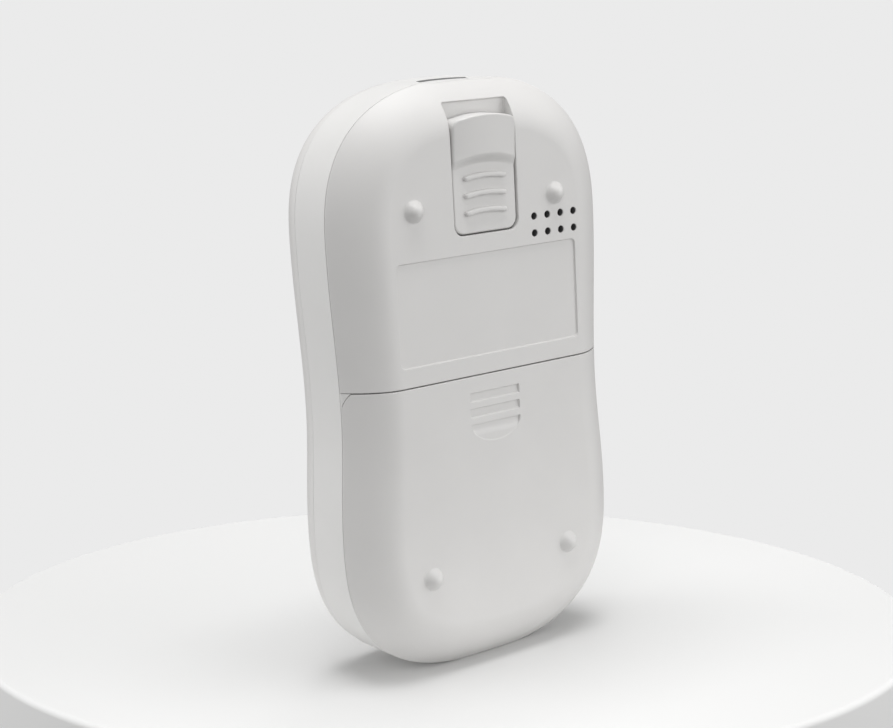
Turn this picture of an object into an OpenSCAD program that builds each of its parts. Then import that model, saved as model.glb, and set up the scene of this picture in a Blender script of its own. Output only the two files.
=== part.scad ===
// Hand-held blood glucose meter with a strip ejector and a sliding battery door.
// Z runs up the long axis, the rear face looks along +Y and the display along -Y.
// The origin is the middle of the flat on the lower end, on which the meter stands.

/* [Outline] */
// Overall height
body_h = 96; // [94:0.5:100]
// Overall width, which the lower bulge has
body_w = 54.4; // [52:0.2:58]
// How much narrower the upper bulge is
upper_less = 0.4; // [0:0.1:1]
// How much narrower the waist is
waist_less = 2.2; // [1:0.1:3]
// Height of the upper end above its widest line
upper_rise = 24; // [22:0.5:26]
// Height of the waist
waist_z = 45.6; // [42:0.2:50]
// Height of the lower bulge's widest line
lower_z = 24.3; // [23:0.1:26]
// Roundness of the upper end, where 2 is an ellipse
upper_round = 2.5; // [2.3:0.05:2.8]
// Roundness of the lower end, where 2 is an ellipse
lower_round = 2.65; // [2.4:0.05:2.8]
// How much the lower end is flattened to stand on
flat_cut = 0.3; // [0.2:0.05:0.4]

/* [Layers] */
// Distance of the rear face from the frame's middle plane
rear_y = 10.6; // [10.4:0.1:11.2]
// Plane of the rear parting line
rear_part_y = 5; // [4.9:0.1:5.2]
// Plane of the front parting line
front_part_y = -3.7; // [-3.8:0.1:-3.6]
// Plane of the front face
front_y = -9.4; // [-10:0.1:-9.3]
// Wall of the shells
shell_wall = 1.5; // [1.3:0.1:1.6]
// Wall of the side band
band_wall = 2; // [1.6:0.1:2.2]
// Width of the rear shell's rounded shoulder
rear_shoulder = 9.5; // [8:0.5:10]
// Width of the front shell's rounded shoulder
front_shoulder = 6; // [5:0.5:8]
// Width of the fine groove along the parting lines
part_groove = 0.25; // [0.2:0.05:0.3]
// Depth of the groove along the parting lines
groove_depth = 0.5; // [0.3:0.1:0.7]

/* [Slider] */
// Width of the slider recess
recess_w = 13; // [12.6:0.1:13.4]
// Length of the slider recess
recess_len = 21.3; // [20.8:0.1:21.5]
// Distance of the slider recess from the top
recess_top = 3.3; // [3.2:0.1:3.7]
// Depth of the slider recess
recess_d = 2.6; // [2.4:0.1:2.8]
// Upward travel of the slider
slider_travel = 2; // [1.5:0.1:2.1]
// Clearance round the slider
slider_gap = 0.3; // [0.25:0.05:0.35]
// How far the raised block stands above the rear face
block_rise = 1.4; // [1:0.1:1.6]
// Height of the raised block along the slider
block_len = 6.4; // [5.5:0.1:7]
// Radius of the arched step and ribs
arch_r = 20; // [16:1:30]
// Number of finger ribs on the slider
rib_count = 3; // [2:1:3]
// Spacing of the finger ribs
rib_pitch = 2.7; // [2.4:0.1:2.8]
// Width of a finger rib
rib_w = 1; // [0.8:0.1:1.2]

/* [Door] */
// Height of the line where the battery door meets the rear cover
door_z = 49; // [48.8:0.1:49.4]
// Distance that the door slides down
door_travel = 6; // [5:0.5:6]
// Clearance round the door
door_gap = 0.25; // [0.2:0.05:0.3]
// Upper edge of the thumb grip
grip_z = 46.1; // [45.5:0.1:46.3]
// Half the width of the thumb grip
grip_half = 5.05; // [4.5:0.05:6]
// Spacing of the grip's grooves
grip_pitch = 2.6; // [2.4:0.1:2.8]
// Depth of the grip's grooves
grip_d = 0.7; // [0.5:0.1:0.8]

/* [Rear details] */
// Radius of a moulded nub at its foot
nub_r = 1.6; // [1.4:0.1:2]
// Height of a moulded nub
nub_h = 1.6; // [1.2:0.1:1.8]
// Distance of the nubs from the middle
nub_x = 14.1; // [13:0.1:15]
// Distance of the upper pair of nubs from the top
nub_top = 19.6; // [18:0.1:21]
// Height of the lower pair of nubs
nub_z0 = 17.2; // [15:0.1:20]
// Radius of a speaker hole
hole_r = 0.55; // [0.4:0.05:0.6]
// Spacing of the speaker holes
hole_pitch = 2.76; // [2.5:0.02:2.8]
// Distance of the speaker from the middle
speaker_x = -13.8; // [-14.2:0.1:-13.8]
// Distance of the speaker from the top
speaker_top = 24.3; // [23:0.1:26]
// Distance of the label recess from the body's side
label_side = 9.2; // [8.7:0.1:11]
// Height of the label recess above the door line
label_over_door = 3.1; // [2.5:0.1:5]
// Distance of the label recess below the slider recess
label_under_slider = 2.9; // [2.4:0.1:5]
// Depth of the label recess
label_d = 0.3; // [0.2:0.05:0.4]
// Width of the test strip slot
strip_slot_w = 11; // [9:0.5:12]
// Height of the test strip slot
strip_slot_t = 1.2; // [1:0.1:1.4]
// Plane of the test strip slot
strip_y = 0.65; // [0.4:0.05:0.8]

/* [Front] */
// Distance of the display lens from the body's side
lens_side = 6.2; // [5.8:0.1:8]
// Lower edge of the display lens
lens_z0 = 50; // [49:0.5:52]
// Distance of the display lens from the top
lens_top = 13; // [12:0.5:16]
// Thickness of the display lens
lens_t = 1; // [0.8:0.05:1]
// Radius of the main button
main_button_r = 6.5; // [5.5:0.1:7]
// Height of the main button
main_button_z = 33; // [30:0.5:34]
// Radius of the two small buttons
side_button_r = 3.4; // [3:0.1:3.8]
// Distance of the small buttons from the middle
side_button_x = 15; // [14:0.1:15.5]
// Height of the small buttons
side_button_z = 34; // [32:0.5:35]
// Clearance round a button
button_gap = 0.25; // [0.2:0.05:0.3]
// Travel of a button
button_travel = 0.5; // [0.4:0.05:0.5]

/* [Inside] */
// Diameter of a battery cell
cell_d = 10.5; // [10.3:0.1:10.5]
// Length of a battery cell
cell_len = 44.5; // [44:0.1:44.5]
// Thickness of the main board
board_t = 1; // [0.8:0.05:1]
// Radius of the case screws' shank
case_screw_r = 0.9; // [0.8:0.05:1]
// Radius of the board and cover screws' shank
small_screw_r = 0.7; // [0.6:0.05:0.8]
// Outer diameter of the speaker
speaker_d = 12; // [11:0.1:12]
// Thickness of the speaker
speaker_t = 3; // [2.5:0.1:3.5]

/* [Hidden] */

$fn = 48;
far = 60;             // longer than any cut has to be
over = 0.5;           // how far a cut runs past a face
seat_gap = 0.05;      // radial clearance of a screw or peg in its hole
part_gap = 0.3;       // clearance between pieces that move past each other

upper_w = body_w - upper_less;
lower_w = body_w;
waist_w = body_w - waist_less;
upper_z = body_h - upper_rise;
recess_z1 = body_h - recess_top;
recess_z0 = recess_z1 - recess_len;
nub_z1 = body_h - nub_top;
speaker_z = body_h - speaker_top;
label_half = body_w / 2 - label_side;
label_z0 = door_z + label_over_door;
label_z1 = recess_z0 - label_under_slider;
lens_w = body_w - 2 * lens_side;
lens_z1 = body_h - lens_top;

// Shell profile: a short straight wall, then a quarter ellipse to the flat face
shell_step = 0.1;     // how far the shells stand in from the band
rear_straight = 0.6;
front_straight = 0.6;
rear_rise = rear_y - rear_part_y - rear_straight;
front_rise = front_part_y - front_y - front_straight;
rear_inner_y = rear_y - shell_wall;
front_inner_y = front_y + shell_wall;

// Stack of pieces behind and before the board
cell_r = cell_d / 2;
cell_x = cell_r + 0.35;
cell_y = rear_inner_y - 1.35 - cell_r;
cell_play = 0.15;
tray_wall = 1.05;
board_rear_y = cell_y - cell_r - cell_play - tray_wall;
board_front_y = board_rear_y - board_t;
board_inset = 3.6;
cell_z0 = 5.7;
cell_z1 = cell_z0 + cell_len;
contact_room = 1.4;
tray_z0 = cell_z0 - contact_room - tray_wall;
tray_z1 = cell_z1 + contact_room + tray_wall;
tray_half = cell_x + cell_r + cell_play + tray_wall;

// Slider and what it carries
recess_floor_y = rear_y - recess_d;
recess_floor_t = 1;
recess_under_y = recess_floor_y - recess_floor_t;
slider_y0 = recess_floor_y + part_gap;
tongue_y = rear_y - 0.25;
slider_half = recess_w / 2 - slider_gap;
slider_z0 = recess_z0 + slider_gap;
slider_z1 = recess_z1 - slider_gap - slider_travel;
step_z = slider_z1 - block_len;
stem_half = 2;
stem_z0 = slider_z0 + 5.3;
stem_z1 = stem_z0 + 2 * stem_half;
carriage_t = 1.2;
carriage_y1 = recess_under_y - part_gap;
carriage_y0 = carriage_y1 - carriage_t;
carriage_half = 4.5;
carriage_z0 = stem_z0 - 2;
carriage_z1 = stem_z1 + 3;
spring_y = carriage_y0 + 0.2;
spring_r = 0.95;
spring_wire = 0.2;
spring_turns = 7;
spring_stop_z = recess_z1 - 2.1;

// Strip path
band_top_z = body_h - band_wall;
guide_depth = 2.4;
connector_half = 6.5;
connector_z0 = carriage_z0 + 6;
connector_z1 = band_top_z - guide_depth - 0.4;
connector_y1 = strip_y + 1.8;
finger_z0 = carriage_z0 + 1.8;
finger_t = 1.6;

// Screw places, as [x, z]
boss_wall = 1.4;
case_screw_x = tray_half + case_screw_r + boss_wall + 1.15;
case_screw_z = [11, 41];
board_screw_x = body_w / 2 - 9.7;
board_screw_z = body_h - 9.6;
cover_screw_x = body_w / 2 - 7.6;
cover_screw_z = door_z - 2.8;
case_screw_at = [for (z = case_screw_z) for (side = [1, -1]) [side * case_screw_x, z]];
board_screw_at = [for (side = [1, -1]) [side * board_screw_x, board_screw_z]];
cover_screw_at = [for (side = [1, -1]) [side * cover_screw_x, cover_screw_z]];

// Colours
shell_color = [0.83, 0.83, 0.82];
band_color = [0.86, 0.86, 0.85];
inner_color = [0.72, 0.73, 0.74];
metal_color = [0.75, 0.75, 0.72];
board_color = [0.10, 0.36, 0.22];
dark_color = [0.12, 0.12, 0.13];
gold_color = [0.80, 0.66, 0.32];

// ---------------------------------------------------------------- outline

cap_steps = 14;       // points on each quarter of an end
waist_steps = 6;      // points between a bulge and the waist

function cap(half_w, rise, n, a) = [half_w * pow(cos(a), 2 / n), rise * pow(sin(a), 2 / n)];

function waist_half(bulge_half, s) = bulge_half + (waist_w / 2 - bulge_half) * (1 - cos(180 * s)) / 2;

// The right half, from the top of the outline round to the bottom
function right_half() = concat(
    [for (i = [0:cap_steps])
        let (p = cap(upper_w / 2, body_h - upper_z, upper_round, 90 - 90 * i / cap_steps))
        [p[0], upper_z + p[1]]],
    [for (i = [1:waist_steps])
        let (s = i / waist_steps)
        [waist_half(upper_w / 2, s), upper_z + (waist_z - upper_z) * s]],
    [for (i = [1:waist_steps])
        let (s = 1 - i / waist_steps)
        [waist_half(lower_w / 2, s), lower_z + (waist_z - lower_z) * s]],
    [for (i = [1:cap_steps])
        let (p = cap(lower_w / 2, lower_z + flat_cut, lower_round, 90 * i / cap_steps))
        [p[0], lower_z - p[1]]]);

function mirrored(half) = [for (i = [len(half) - 2:-1:1]) [-half[i][0], half[i][1]]];

outline = concat(right_half(), mirrored(right_half()));
outline_n = len(outline);

// The outline moved inwards by d, along the normal at each point, and cut off at the flat
function inset(d) = [for (i = [0:outline_n - 1])
    let (t = outline[(i + 1) % outline_n] - outline[(i + outline_n - 1) % outline_n],
        p = outline[i] + d * [t[1], -t[0]] / norm(t))
    [p[0], max(0, p[1])]];

// A rectangle in X-Z whose corners are rounded to radius r
function round_rect(x0, z0, x1, z1, r) = [
    for (c = [[x1, z1, 0], [x0, z1, 90], [x0, z0, 180], [x1, z0, 270]])
    for (k = [0:5])
        let (a = c[2] + 18 * k)
        [c[0] + (c[0] == x1 ? -r : r) + r * cos(a), c[1] + (c[1] == z1 ? -r : r) + r * sin(a)]];

// ---------------------------------------------------------------- solids

function ring_at(d, y) = [for (p = inset(d)) [p[0], y, p[1]]];

function reversed(list) = [for (i = [len(list) - 1:-1:0]) list[i]];

// A solid through closed rings of equal length, given in order of rising Y
module loft(rings) {
    n = len(rings[0]);
    last = len(rings) - 1;
    polyhedron(
        points = [for (ring = rings) each ring],
        faces = concat(
            [[for (i = [0:n - 1]) i]],
            [[for (i = [n - 1:-1:0]) last * n + i]],
            [for (k = [0:last - 1]) for (i = [0:n - 1])
                let (j = (i + 1) % n)
                each [[k * n + i, (k + 1) * n + i, (k + 1) * n + j],
                    [k * n + i, (k + 1) * n + j, k * n + j]]]));
}

// Rings of a shell's profile, where wall is 0 on the outer face
function shell_rings(start_y, side, straight, rise, shoulder, wall, steps) = concat(
    [ring_at(shell_step + wall, start_y - side * (wall > 0 ? over : 0))],
    [for (k = [0:steps])
        let (a = 90 * k / steps)
        ring_at(shell_step + shoulder * (1 - cos(a)) + wall * cos(a),
            start_y + side * (straight + (rise - wall) * sin(a)))]);

function rear_rings(wall, steps) =
    shell_rings(rear_part_y, 1, rear_straight, rear_rise, rear_shoulder, wall, steps);

function front_rings(wall, steps) =
    reversed(shell_rings(front_part_y, -1, front_straight, front_rise, front_shoulder, wall, steps));

// Extrudes an X-Z drawing from y0 to y1
module along_y(y0, y1) {
    translate([0, y1, 0]) rotate([90, 0, 0]) linear_extrude(y1 - y0) children();
}

module block(x0, x1, y0, y1, z0, z1) {
    translate([x0, y0, z0]) cube([x1 - x0, y1 - y0, z1 - z0]);
}

module peg(at, r, y0, y1) {
    translate([at[0], y1, at[1]]) rotate([90, 0, 0]) cylinder(r = r, h = y1 - y0);
}

module tube(at, r, bore, y0, y1) {
    difference() {
        peg(at, r, y0, y1);
        peg(at, bore, y0 - over, y1 + over);
    }
}

module mirror_pair() {
    children();
    mirror([1, 0, 0]) children();
}

// A pan-head screw along Y, whose head's underside lies at y
module screw(at, r, y, shank) {
    head_h = r * 1.4;
    difference() {
        union() {
            peg(at, r, y - shank, y);
            peg(at, r * 2, y, y + head_h);
        }
        block(at[0] - r * 1.2, at[0] + r * 1.2, y + head_h - 0.5, y + head_h + over,
            at[1] - r * 0.2, at[1] + r * 0.2);
        block(at[0] - r * 0.2, at[0] + r * 0.2, y + head_h - 0.5, y + head_h + over,
            at[1] - r * 1.2, at[1] + r * 1.2);
    }
}

// An unbroken round wire wound along +Z from the origin, from outer radius r0 to r1
module coil(r0, r1, wire, len, turns) {
    sides = 6;
    per_turn = 10;
    n = turns * per_turn;
    rise = (len - 2 * wire) / n;
    rings = [for (i = [0:n])
        let (a = 360 * i / per_turn, r = r0 + (r1 - r0) * i / n)
        [for (k = [0:sides - 1])
            let (b = 360 * k / sides, reach = r - wire + wire * cos(b))
            [reach * cos(a), reach * sin(a), wire + rise * i + wire * sin(b)]]];
    polyhedron(
        points = [for (ring = rings) each ring],
        faces = concat(
            [[for (k = [sides - 1:-1:0]) k]],
            [[for (k = [0:sides - 1]) n * sides + k]],
            [for (i = [0:n - 1]) for (k = [0:sides - 1])
                let (m = (k + 1) % sides)
                each [[i * sides + k, i * sides + m, (i + 1) * sides + m],
                    [i * sides + k, (i + 1) * sides + m, (i + 1) * sides + k]]]));
}

// ---------------------------------------------------------------- front

lens_inset = 3;       // how far the window lies in from the lens edge
boss_r = case_screw_r + boss_wall;
board_boss_r = small_screw_r + boss_wall;
tray_ear_t = 1.5;
case_shank = board_rear_y + tray_ear_t - front_inner_y - 0.4;

module button_hole(at, r) {
    peg(at, r + button_gap, front_y - over, front_inner_y + over);
}

module front_cover() {
    color(shell_color) {
        difference() {
            loft(front_rings(0, 8));
            loft(front_rings(shell_wall, 6));
            along_y(front_y - over, front_y + lens_t + 0.1)
                polygon(round_rect(-lens_w / 2, lens_z0, lens_w / 2, lens_z1, 3));
            along_y(front_y - over, front_inner_y + over)
                polygon(round_rect(-lens_w / 2 + lens_inset, lens_z0 + lens_inset,
                    lens_w / 2 - lens_inset, lens_z1 - lens_inset, 1));
            button_hole([0, main_button_z], main_button_r);
            button_hole([side_button_x, side_button_z], side_button_r);
            button_hole([-side_button_x, side_button_z], side_button_r);
        }
        for (at = case_screw_at)
            tube(at, boss_r, case_screw_r + seat_gap, front_inner_y, board_front_y);
        for (at = board_screw_at)
            tube(at, board_boss_r, small_screw_r + seat_gap, front_inner_y, board_front_y);
    }
}

module display_lens() {
    fit = 0.1;
    color(dark_color)
        along_y(front_y + 0.1, front_y + lens_t + 0.1)
            polygon(round_rect(-lens_w / 2 + fit, lens_z0 + fit, lens_w / 2 - fit, lens_z1 - fit, 3));
}

button_proud = 0.7;
button_flange = 0.8;
flange_t = 0.8;
switch_h = 0.9;
switch_y = board_front_y - switch_h;
stem_end_y = switch_y - button_travel - 0.1;

// A round key with a dished top, an inner flange and a plunger over its switch
module button(at, r) {
    crown = r * 2.4;
    intersection() {
        peg(at, r, front_y - button_proud, front_inner_y + over);
        translate([at[0], front_y - button_proud + crown, at[1]]) sphere(r = crown, $fn = 64);
    }
    peg(at, r + button_flange, front_inner_y + part_gap, front_inner_y + part_gap + flange_t);
    peg(at, 1, front_inner_y + part_gap, stem_end_y);
}

module main_button() {
    color(dark_color) button([0, main_button_z], main_button_r);
}

module up_button() {
    color(inner_color) button([side_button_x, side_button_z], side_button_r);
}

module down_button() {
    color(inner_color) button([-side_button_x, side_button_z], side_button_r);
}

// ---------------------------------------------------------------- band

land_w = 3.2;         // depth of the cut at the door's upper corners
land_h = 2.7;         // height of that cut

// The corner cut of the door, seen from the side and grown by d
module corner_prism(d) {
    rotate([90, 0, 90]) linear_extrude(far, center = true)
        polygon([[rear_part_y - far, door_z + far], [rear_part_y - far, door_z - land_h - d],
            [rear_part_y, door_z - land_h - d],
            [rear_part_y + land_w * 0.45, door_z - land_h * 0.72 - d],
            [rear_part_y + land_w * 0.8, door_z - land_h * 0.38 - d],
            [rear_part_y + land_w + d, door_z - d], [rear_part_y + land_w + d, door_z + far]]);
}

module band_ring(d, y0, y1) {
    along_y(y0, y1)
        difference() {
            polygon(inset(d));
            polygon(inset(band_wall));
        }
}

module mid_band() {
    color(band_color) {
        difference() {
            union() {
                band_ring(0, front_part_y + part_groove, rear_part_y - part_groove);
                band_ring(groove_depth, front_part_y, rear_part_y - door_gap);
                intersection() {
                    band_ring(groove_depth, front_part_y, rear_part_y);
                    block(-far, far, -far, far, door_z, body_h + over);
                }
            }
            block(-strip_slot_w / 2, strip_slot_w / 2, strip_y - strip_slot_t / 2,
                strip_y + strip_slot_t / 2, band_top_z - 2, body_h + over);
        }
        for (at = cover_screw_at) cover_boss(at);
        corner_lands();
    }
}

// The small lands that fill the cuts at the door's upper corners
module corner_lands() {
    land_top = door_z - part_groove;
    intersection() {
        loft(rear_rings(0, 8));
        mirror_pair()
            block(waist_w / 2 - 1.7, far, rear_part_y - over, rear_part_y + land_w,
                door_z - land_h - over, land_top);
        corner_prism(-door_gap);
    }
    mirror_pair()
        block(waist_w / 2 - band_wall, waist_w / 2 - groove_depth - shell_step,
            rear_part_y - 1, rear_part_y + 1.2, land_top - 1.4, land_top);
}

module cover_boss(at) {
    side = at[0] > 0 ? 1 : -1;
    difference() {
        union() {
            peg(at, board_boss_r, board_rear_y, rear_part_y - door_gap);
            block(min(at[0], side * (waist_w / 2 - 1)), max(at[0], side * (waist_w / 2 - 1)),
                board_rear_y, rear_part_y - door_gap, at[1] - 0.8, at[1] + 0.8);
        }
        peg(at, small_screw_r + seat_gap, board_rear_y + 1, rear_part_y + over);
    }
}

module strip_guide() {
    guide_half = strip_slot_w / 2 + 1;
    guide_rim = strip_slot_t / 2 + 1.3;
    z0 = band_top_z - guide_depth;
    color(dark_color)
        difference() {
            block(-guide_half, guide_half, strip_y - guide_rim, strip_y + guide_rim, z0,
                band_top_z - 0.45);
            block(-strip_slot_w / 2 + 1.2, strip_slot_w / 2 - 1.2, strip_y - 0.4, strip_y + 0.4,
                z0 - over, band_top_z + over);
        }
}

// ---------------------------------------------------------------- rear cover

ear_t = 1.2;
speaker_seat_y = rear_inner_y - 0.6;
pocket_wall = 1;

module upper_half() {
    block(-far, far, -far, far, door_z, body_h + over);
}

module nub(x, z) {
    // A dome whose foot runs out into the shell
    nub_profile = [for (i = [0:6])
        let (a = 15 * i)
        [nub_r * pow(cos(a), 1.15), nub_h * sin(a)]];
    translate([x, rear_y - 0.01, z]) rotate([-90, 0, 0])
        rotate_extrude($fn = 32) polygon(concat([[0, -1], [nub_r, -1]], nub_profile));
}

module speaker_holes() {
    for (i = [-1.5:1:1.5])
        for (j = [-0.5:1:0.5])
            peg([speaker_x + i * hole_pitch, speaker_z + j * hole_pitch], hole_r,
                speaker_seat_y - over, rear_y + over);
}

module rear_inside() {
    difference() {
        loft(rear_rings(shell_wall, 6));
        block(-recess_w / 2 - pocket_wall, recess_w / 2 + pocket_wall, recess_under_y, far,
            recess_z0 - pocket_wall, body_h);
        block(-2.4, 2.4, spring_y - 1.6, far, spring_stop_z, spring_stop_z + 1.2);
        peg([speaker_x, speaker_z], speaker_d / 2, speaker_seat_y, far);
    }
}

module rear_cover() {
    color(shell_color) {
        difference() {
            intersection() {
                loft(rear_rings(0, 8));
                upper_half();
            }
            rear_inside();
            along_y(recess_floor_y, far)
                polygon(round_rect(-recess_w / 2, recess_z0, recess_w / 2, recess_z1, 1.8));
            block(-stem_half - 0.5, stem_half + 0.5, recess_under_y - over, recess_floor_y + over,
                stem_z0 - 0.5, stem_z1 + slider_travel + 0.5);
            speaker_holes();
            along_y(rear_y - label_d, far)
                polygon(round_rect(-label_half, label_z0, label_half, label_z1, 0.8));
        }
        nub(nub_x, nub_z1);
        nub(-nub_x, nub_z1);
        for (at = cover_screw_at) cover_ear(at);
    }
}

// A lug below the door line, held by a screw that the door hides
module cover_ear(at) {
    y0 = rear_part_y - door_gap;
    difference() {
        union() {
            peg(at, board_boss_r, y0, y0 + ear_t);
            block(at[0] - board_boss_r, at[0] + board_boss_r, y0, y0 + ear_t, at[1], door_z + 1.6);
        }
        peg(at, small_screw_r + seat_gap, y0 - over, far);
    }
    block(at[0] - board_boss_r, at[0] + board_boss_r, y0, rear_inner_y, door_z + 0.4, door_z + 1.6);
}

// ---------------------------------------------------------------- ejector

// A band of height w whose edges arch up in the middle, from -half to half
function arch_band(half, z, w) = concat(
    [for (i = [-6:6]) let (x = half * i / 6) [x, z + w + arch(x)]],
    [for (i = [6:-1:-6]) let (x = half * i / 6) [x, z + arch(x)]]);

function arch(x) = sqrt(arch_r * arch_r - x * x) - arch_r;

module eject_slider() {
    crown_r = 24;
    block_top_y = rear_y + block_rise;
    color(shell_color) {
        along_y(slider_y0, tongue_y)
            polygon(round_rect(-slider_half, slider_z0, slider_half, slider_z1 - 1.2, 1.5));
        intersection() {
            along_y(slider_y0, block_top_y)
                polygon(arch_band(slider_half, step_z, block_len));
            translate([0, block_top_y - crown_r, step_z - 2])
                cylinder(r = crown_r, h = block_len + 4, $fn = 96);
        }
        for (i = [0:rib_count - 1])
            along_y(tongue_y - over, tongue_y + 0.4)
                polygon(arch_band(slider_half - 1.9, step_z - rib_w - 2 - i * rib_pitch, rib_w));
        block(-stem_half, stem_half, carriage_y1, slider_y0 + over, stem_z0, stem_z1);
        peg([0, (stem_z0 + stem_z1) / 2], 1, carriage_y0, slider_y0 + over);
    }
}

module eject_carriage() {
    stem_z = (stem_z0 + stem_z1) / 2;
    color(inner_color)
        difference() {
            union() {
                block(-carriage_half, carriage_half, carriage_y0, carriage_y1, carriage_z0, carriage_z1);
                block(-1.6, 1.6, spring_y - spring_r, carriage_y1, carriage_z1 - 1.2, carriage_z1);
                block(-1.4, 1.4, strip_y - 0.4, carriage_y0 + over, finger_z0, finger_z0 + finger_t);
            }
            peg([0, stem_z], 1 + seat_gap, carriage_y0 - over, carriage_y1 + over);
            block(-1.5, 1.5, carriage_y0 - 5, carriage_y0, stem_z - 1, stem_z + 1);
        }
}

module eject_spring() {
    spring_seat = 0.1;
    spring_len = spring_stop_z - carriage_z1 - 2 * spring_seat;
    color(metal_color)
        translate([0, spring_y, carriage_z1 + spring_seat])
            coil(spring_r, spring_r, spring_wire, spring_len, spring_turns);
}

// ---------------------------------------------------------------- battery door

rail_x = tray_half + 1.5;
rail_t = 1.2;
lip = 1;
lip_z = [[14, 22], [30, 38]];
flange_z0 = lip_z[0][0] - door_travel - 2;
flange_z1 = lip_z[1][1] + 6;
flange_y = 6.5;
latch_t = 0.7;

module lower_half() {
    block(-far, far, -far, far, -over, door_z - door_gap);
}

// Grooves that are deepest at their upper edge, and a half-moon scoop below them
module thumb_grip() {
    scoop_z = grip_z - 2 * grip_pitch;
    for (i = [0:1])
        translate([0, 0, grip_z - i * grip_pitch]) grip_wedge(grip_pitch * 0.5, grip_pitch * 0.62);
    intersection() {
        translate([0, 0, scoop_z]) grip_wedge(grip_pitch * 0.4, 3.4);
        along_y(-far, far) polygon(concat([[-grip_half, scoop_z + 1], [-grip_half, scoop_z - 0.6]],
            [for (i = [1:11]) let (x = -grip_half + grip_half * i / 6)
                [x, scoop_z - 0.6 - 2.8 * sqrt(1 - pow(x / grip_half, 2))]],
            [[grip_half, scoop_z - 0.6], [grip_half, scoop_z + 1]]));
    }
}

module grip_wedge(flat, run) {
    rotate([90, 0, 90]) linear_extrude(2 * grip_half, center = true)
        polygon([[rear_y + 1, 0], [rear_y - grip_d, 0], [rear_y - grip_d, -flat],
            [rear_y, -run], [rear_y + 1, -run]]);
}

module door_rail() {
    y0 = flange_y - part_gap - 1;
    block(rail_x, rail_x + rail_t, y0, rear_inner_y + 0.2, lip_z[0][0], lip_z[1][1]);
    for (z = lip_z)
        block(rail_x - lip, rail_x + over, y0, y0 + 1, z[0], z[1]);
}

module battery_door() {
    latch_y = rear_inner_y - part_gap;
    color(shell_color) {
        difference() {
            intersection() {
                loft(rear_rings(0, 8));
                lower_half();
            }
            loft(rear_rings(shell_wall, 6));
            corner_prism(0);
            thumb_grip();
        }
        block(-8, 8, latch_y - latch_t, rear_inner_y + 0.2, door_z - 5, door_z - door_gap - 0.1);
        block(-8, 8, latch_y - latch_t, latch_y, door_z - 5, door_z + 2.2);
        mirror_pair() door_rail();
        nub(nub_x, nub_z0);
        nub(-nub_x, nub_z0);
    }
}

// ---------------------------------------------------------------- battery bay

module cell_bore(side) {
    translate([side * cell_x, cell_y, cell_z0 - contact_room]) cylinder(r = cell_r + cell_play,
        h = cell_len + 2 * contact_room);
    block(side * cell_x - cell_r - cell_play, side * cell_x + cell_r + cell_play, cell_y, far,
        cell_z0 - contact_room, cell_z1 + contact_room);
}

module battery_tray() {
    wall_y = cell_y + cell_r * 0.8;
    color(inner_color) {
        difference() {
            union() {
                block(-tray_half, tray_half, board_rear_y, wall_y, tray_z0, tray_z1);
                mirror_pair()
                    block(tray_half - tray_wall, tray_half + lip, flange_y, flange_y + 0.9,
                        flange_z0, flange_z1);
                mirror_pair()
                    block(tray_half - tray_wall, tray_half, wall_y - 1, flange_y + 0.9,
                        flange_z0, flange_z1);
                for (at = case_screw_at) tray_ear(at);
            }
            cell_bore(1);
            cell_bore(-1);
            for (at = case_screw_at)
                peg(at, case_screw_r + seat_gap, board_rear_y - over, far);
        }
    }
}

module tray_ear(at) {
    side = at[0] > 0 ? 1 : -1;
    peg(at, boss_r, board_rear_y, board_rear_y + tray_ear_t);
    block(min(side * (tray_half - 1), at[0]), max(side * (tray_half - 1), at[0]), board_rear_y,
        board_rear_y + tray_ear_t, at[1] - boss_r, at[1] + boss_r);
}

// An AAA cell whose raised terminal points up or down
module cell(side, up) {
    cap_h = 1;
    translate([side * cell_x, cell_y, up ? cell_z0 : cell_z0 + cap_h])
        cylinder(r = cell_r, h = cell_len - cap_h);
    translate([side * cell_x, cell_y, up ? cell_z1 - cap_h - over : cell_z0])
        cylinder(r = 1.9, h = cap_h + over);
}

module battery_left() {
    color([0.25, 0.45, 0.62]) cell(1, true);
}

module battery_right() {
    color([0.25, 0.45, 0.62]) cell(-1, false);
}

plate_t = 0.3;
plate_half = cell_r * 0.75;
coil_wide = cell_r * 0.68;
coil_tip = cell_r * 0.3;

// Its lower corners stay clear of the tray's round bore
module contact_plate(side, z) {
    block(side * cell_x - plate_half, side * cell_x + plate_half, cell_y - plate_half * 0.85,
        cell_y + plate_half, z, z + plate_t);
}

module battery_springs() {
    spring_fit = 0.05;
    spring_room = contact_room - plate_t - 2 * spring_fit;
    color(metal_color) {
        contact_plate(1, cell_z0 - contact_room);
        translate([cell_x, cell_y, cell_z0 - spring_fit - spring_room])
            coil(coil_wide, coil_tip, spring_wire, spring_room, 2);
        contact_plate(-1, cell_z1 + contact_room - plate_t);
        translate([-cell_x, cell_y, cell_z1 + spring_fit])
            coil(coil_tip, coil_wide, spring_wire, spring_room, 2);
    }
}

module battery_plates() {
    bump = contact_room - plate_t - 0.05;
    color(metal_color) {
        contact_plate(-1, cell_z0 - contact_room);
        translate([-cell_x, cell_y, cell_z0 - contact_room])
            cylinder(r1 = coil_wide * 0.85, r2 = coil_tip, h = plate_t + bump);
        contact_plate(1, cell_z1 + contact_room - plate_t);
        translate([cell_x, cell_y, cell_z1 + contact_room - plate_t - bump])
            cylinder(r1 = coil_tip, r2 = coil_wide * 0.85, h = plate_t + bump);
    }
}

// ---------------------------------------------------------------- electronics

module main_board() {
    color(board_color)
        difference() {
            along_y(board_front_y, board_rear_y) polygon(inset(board_inset));
            for (at = case_screw_at) peg(at, case_screw_r + seat_gap, -far, far);
            for (at = board_screw_at) peg(at, small_screw_r + seat_gap, -far, far);
        }
}

chip_side = 10;       // edge of the main chip
chip_t = 1.4;

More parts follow.
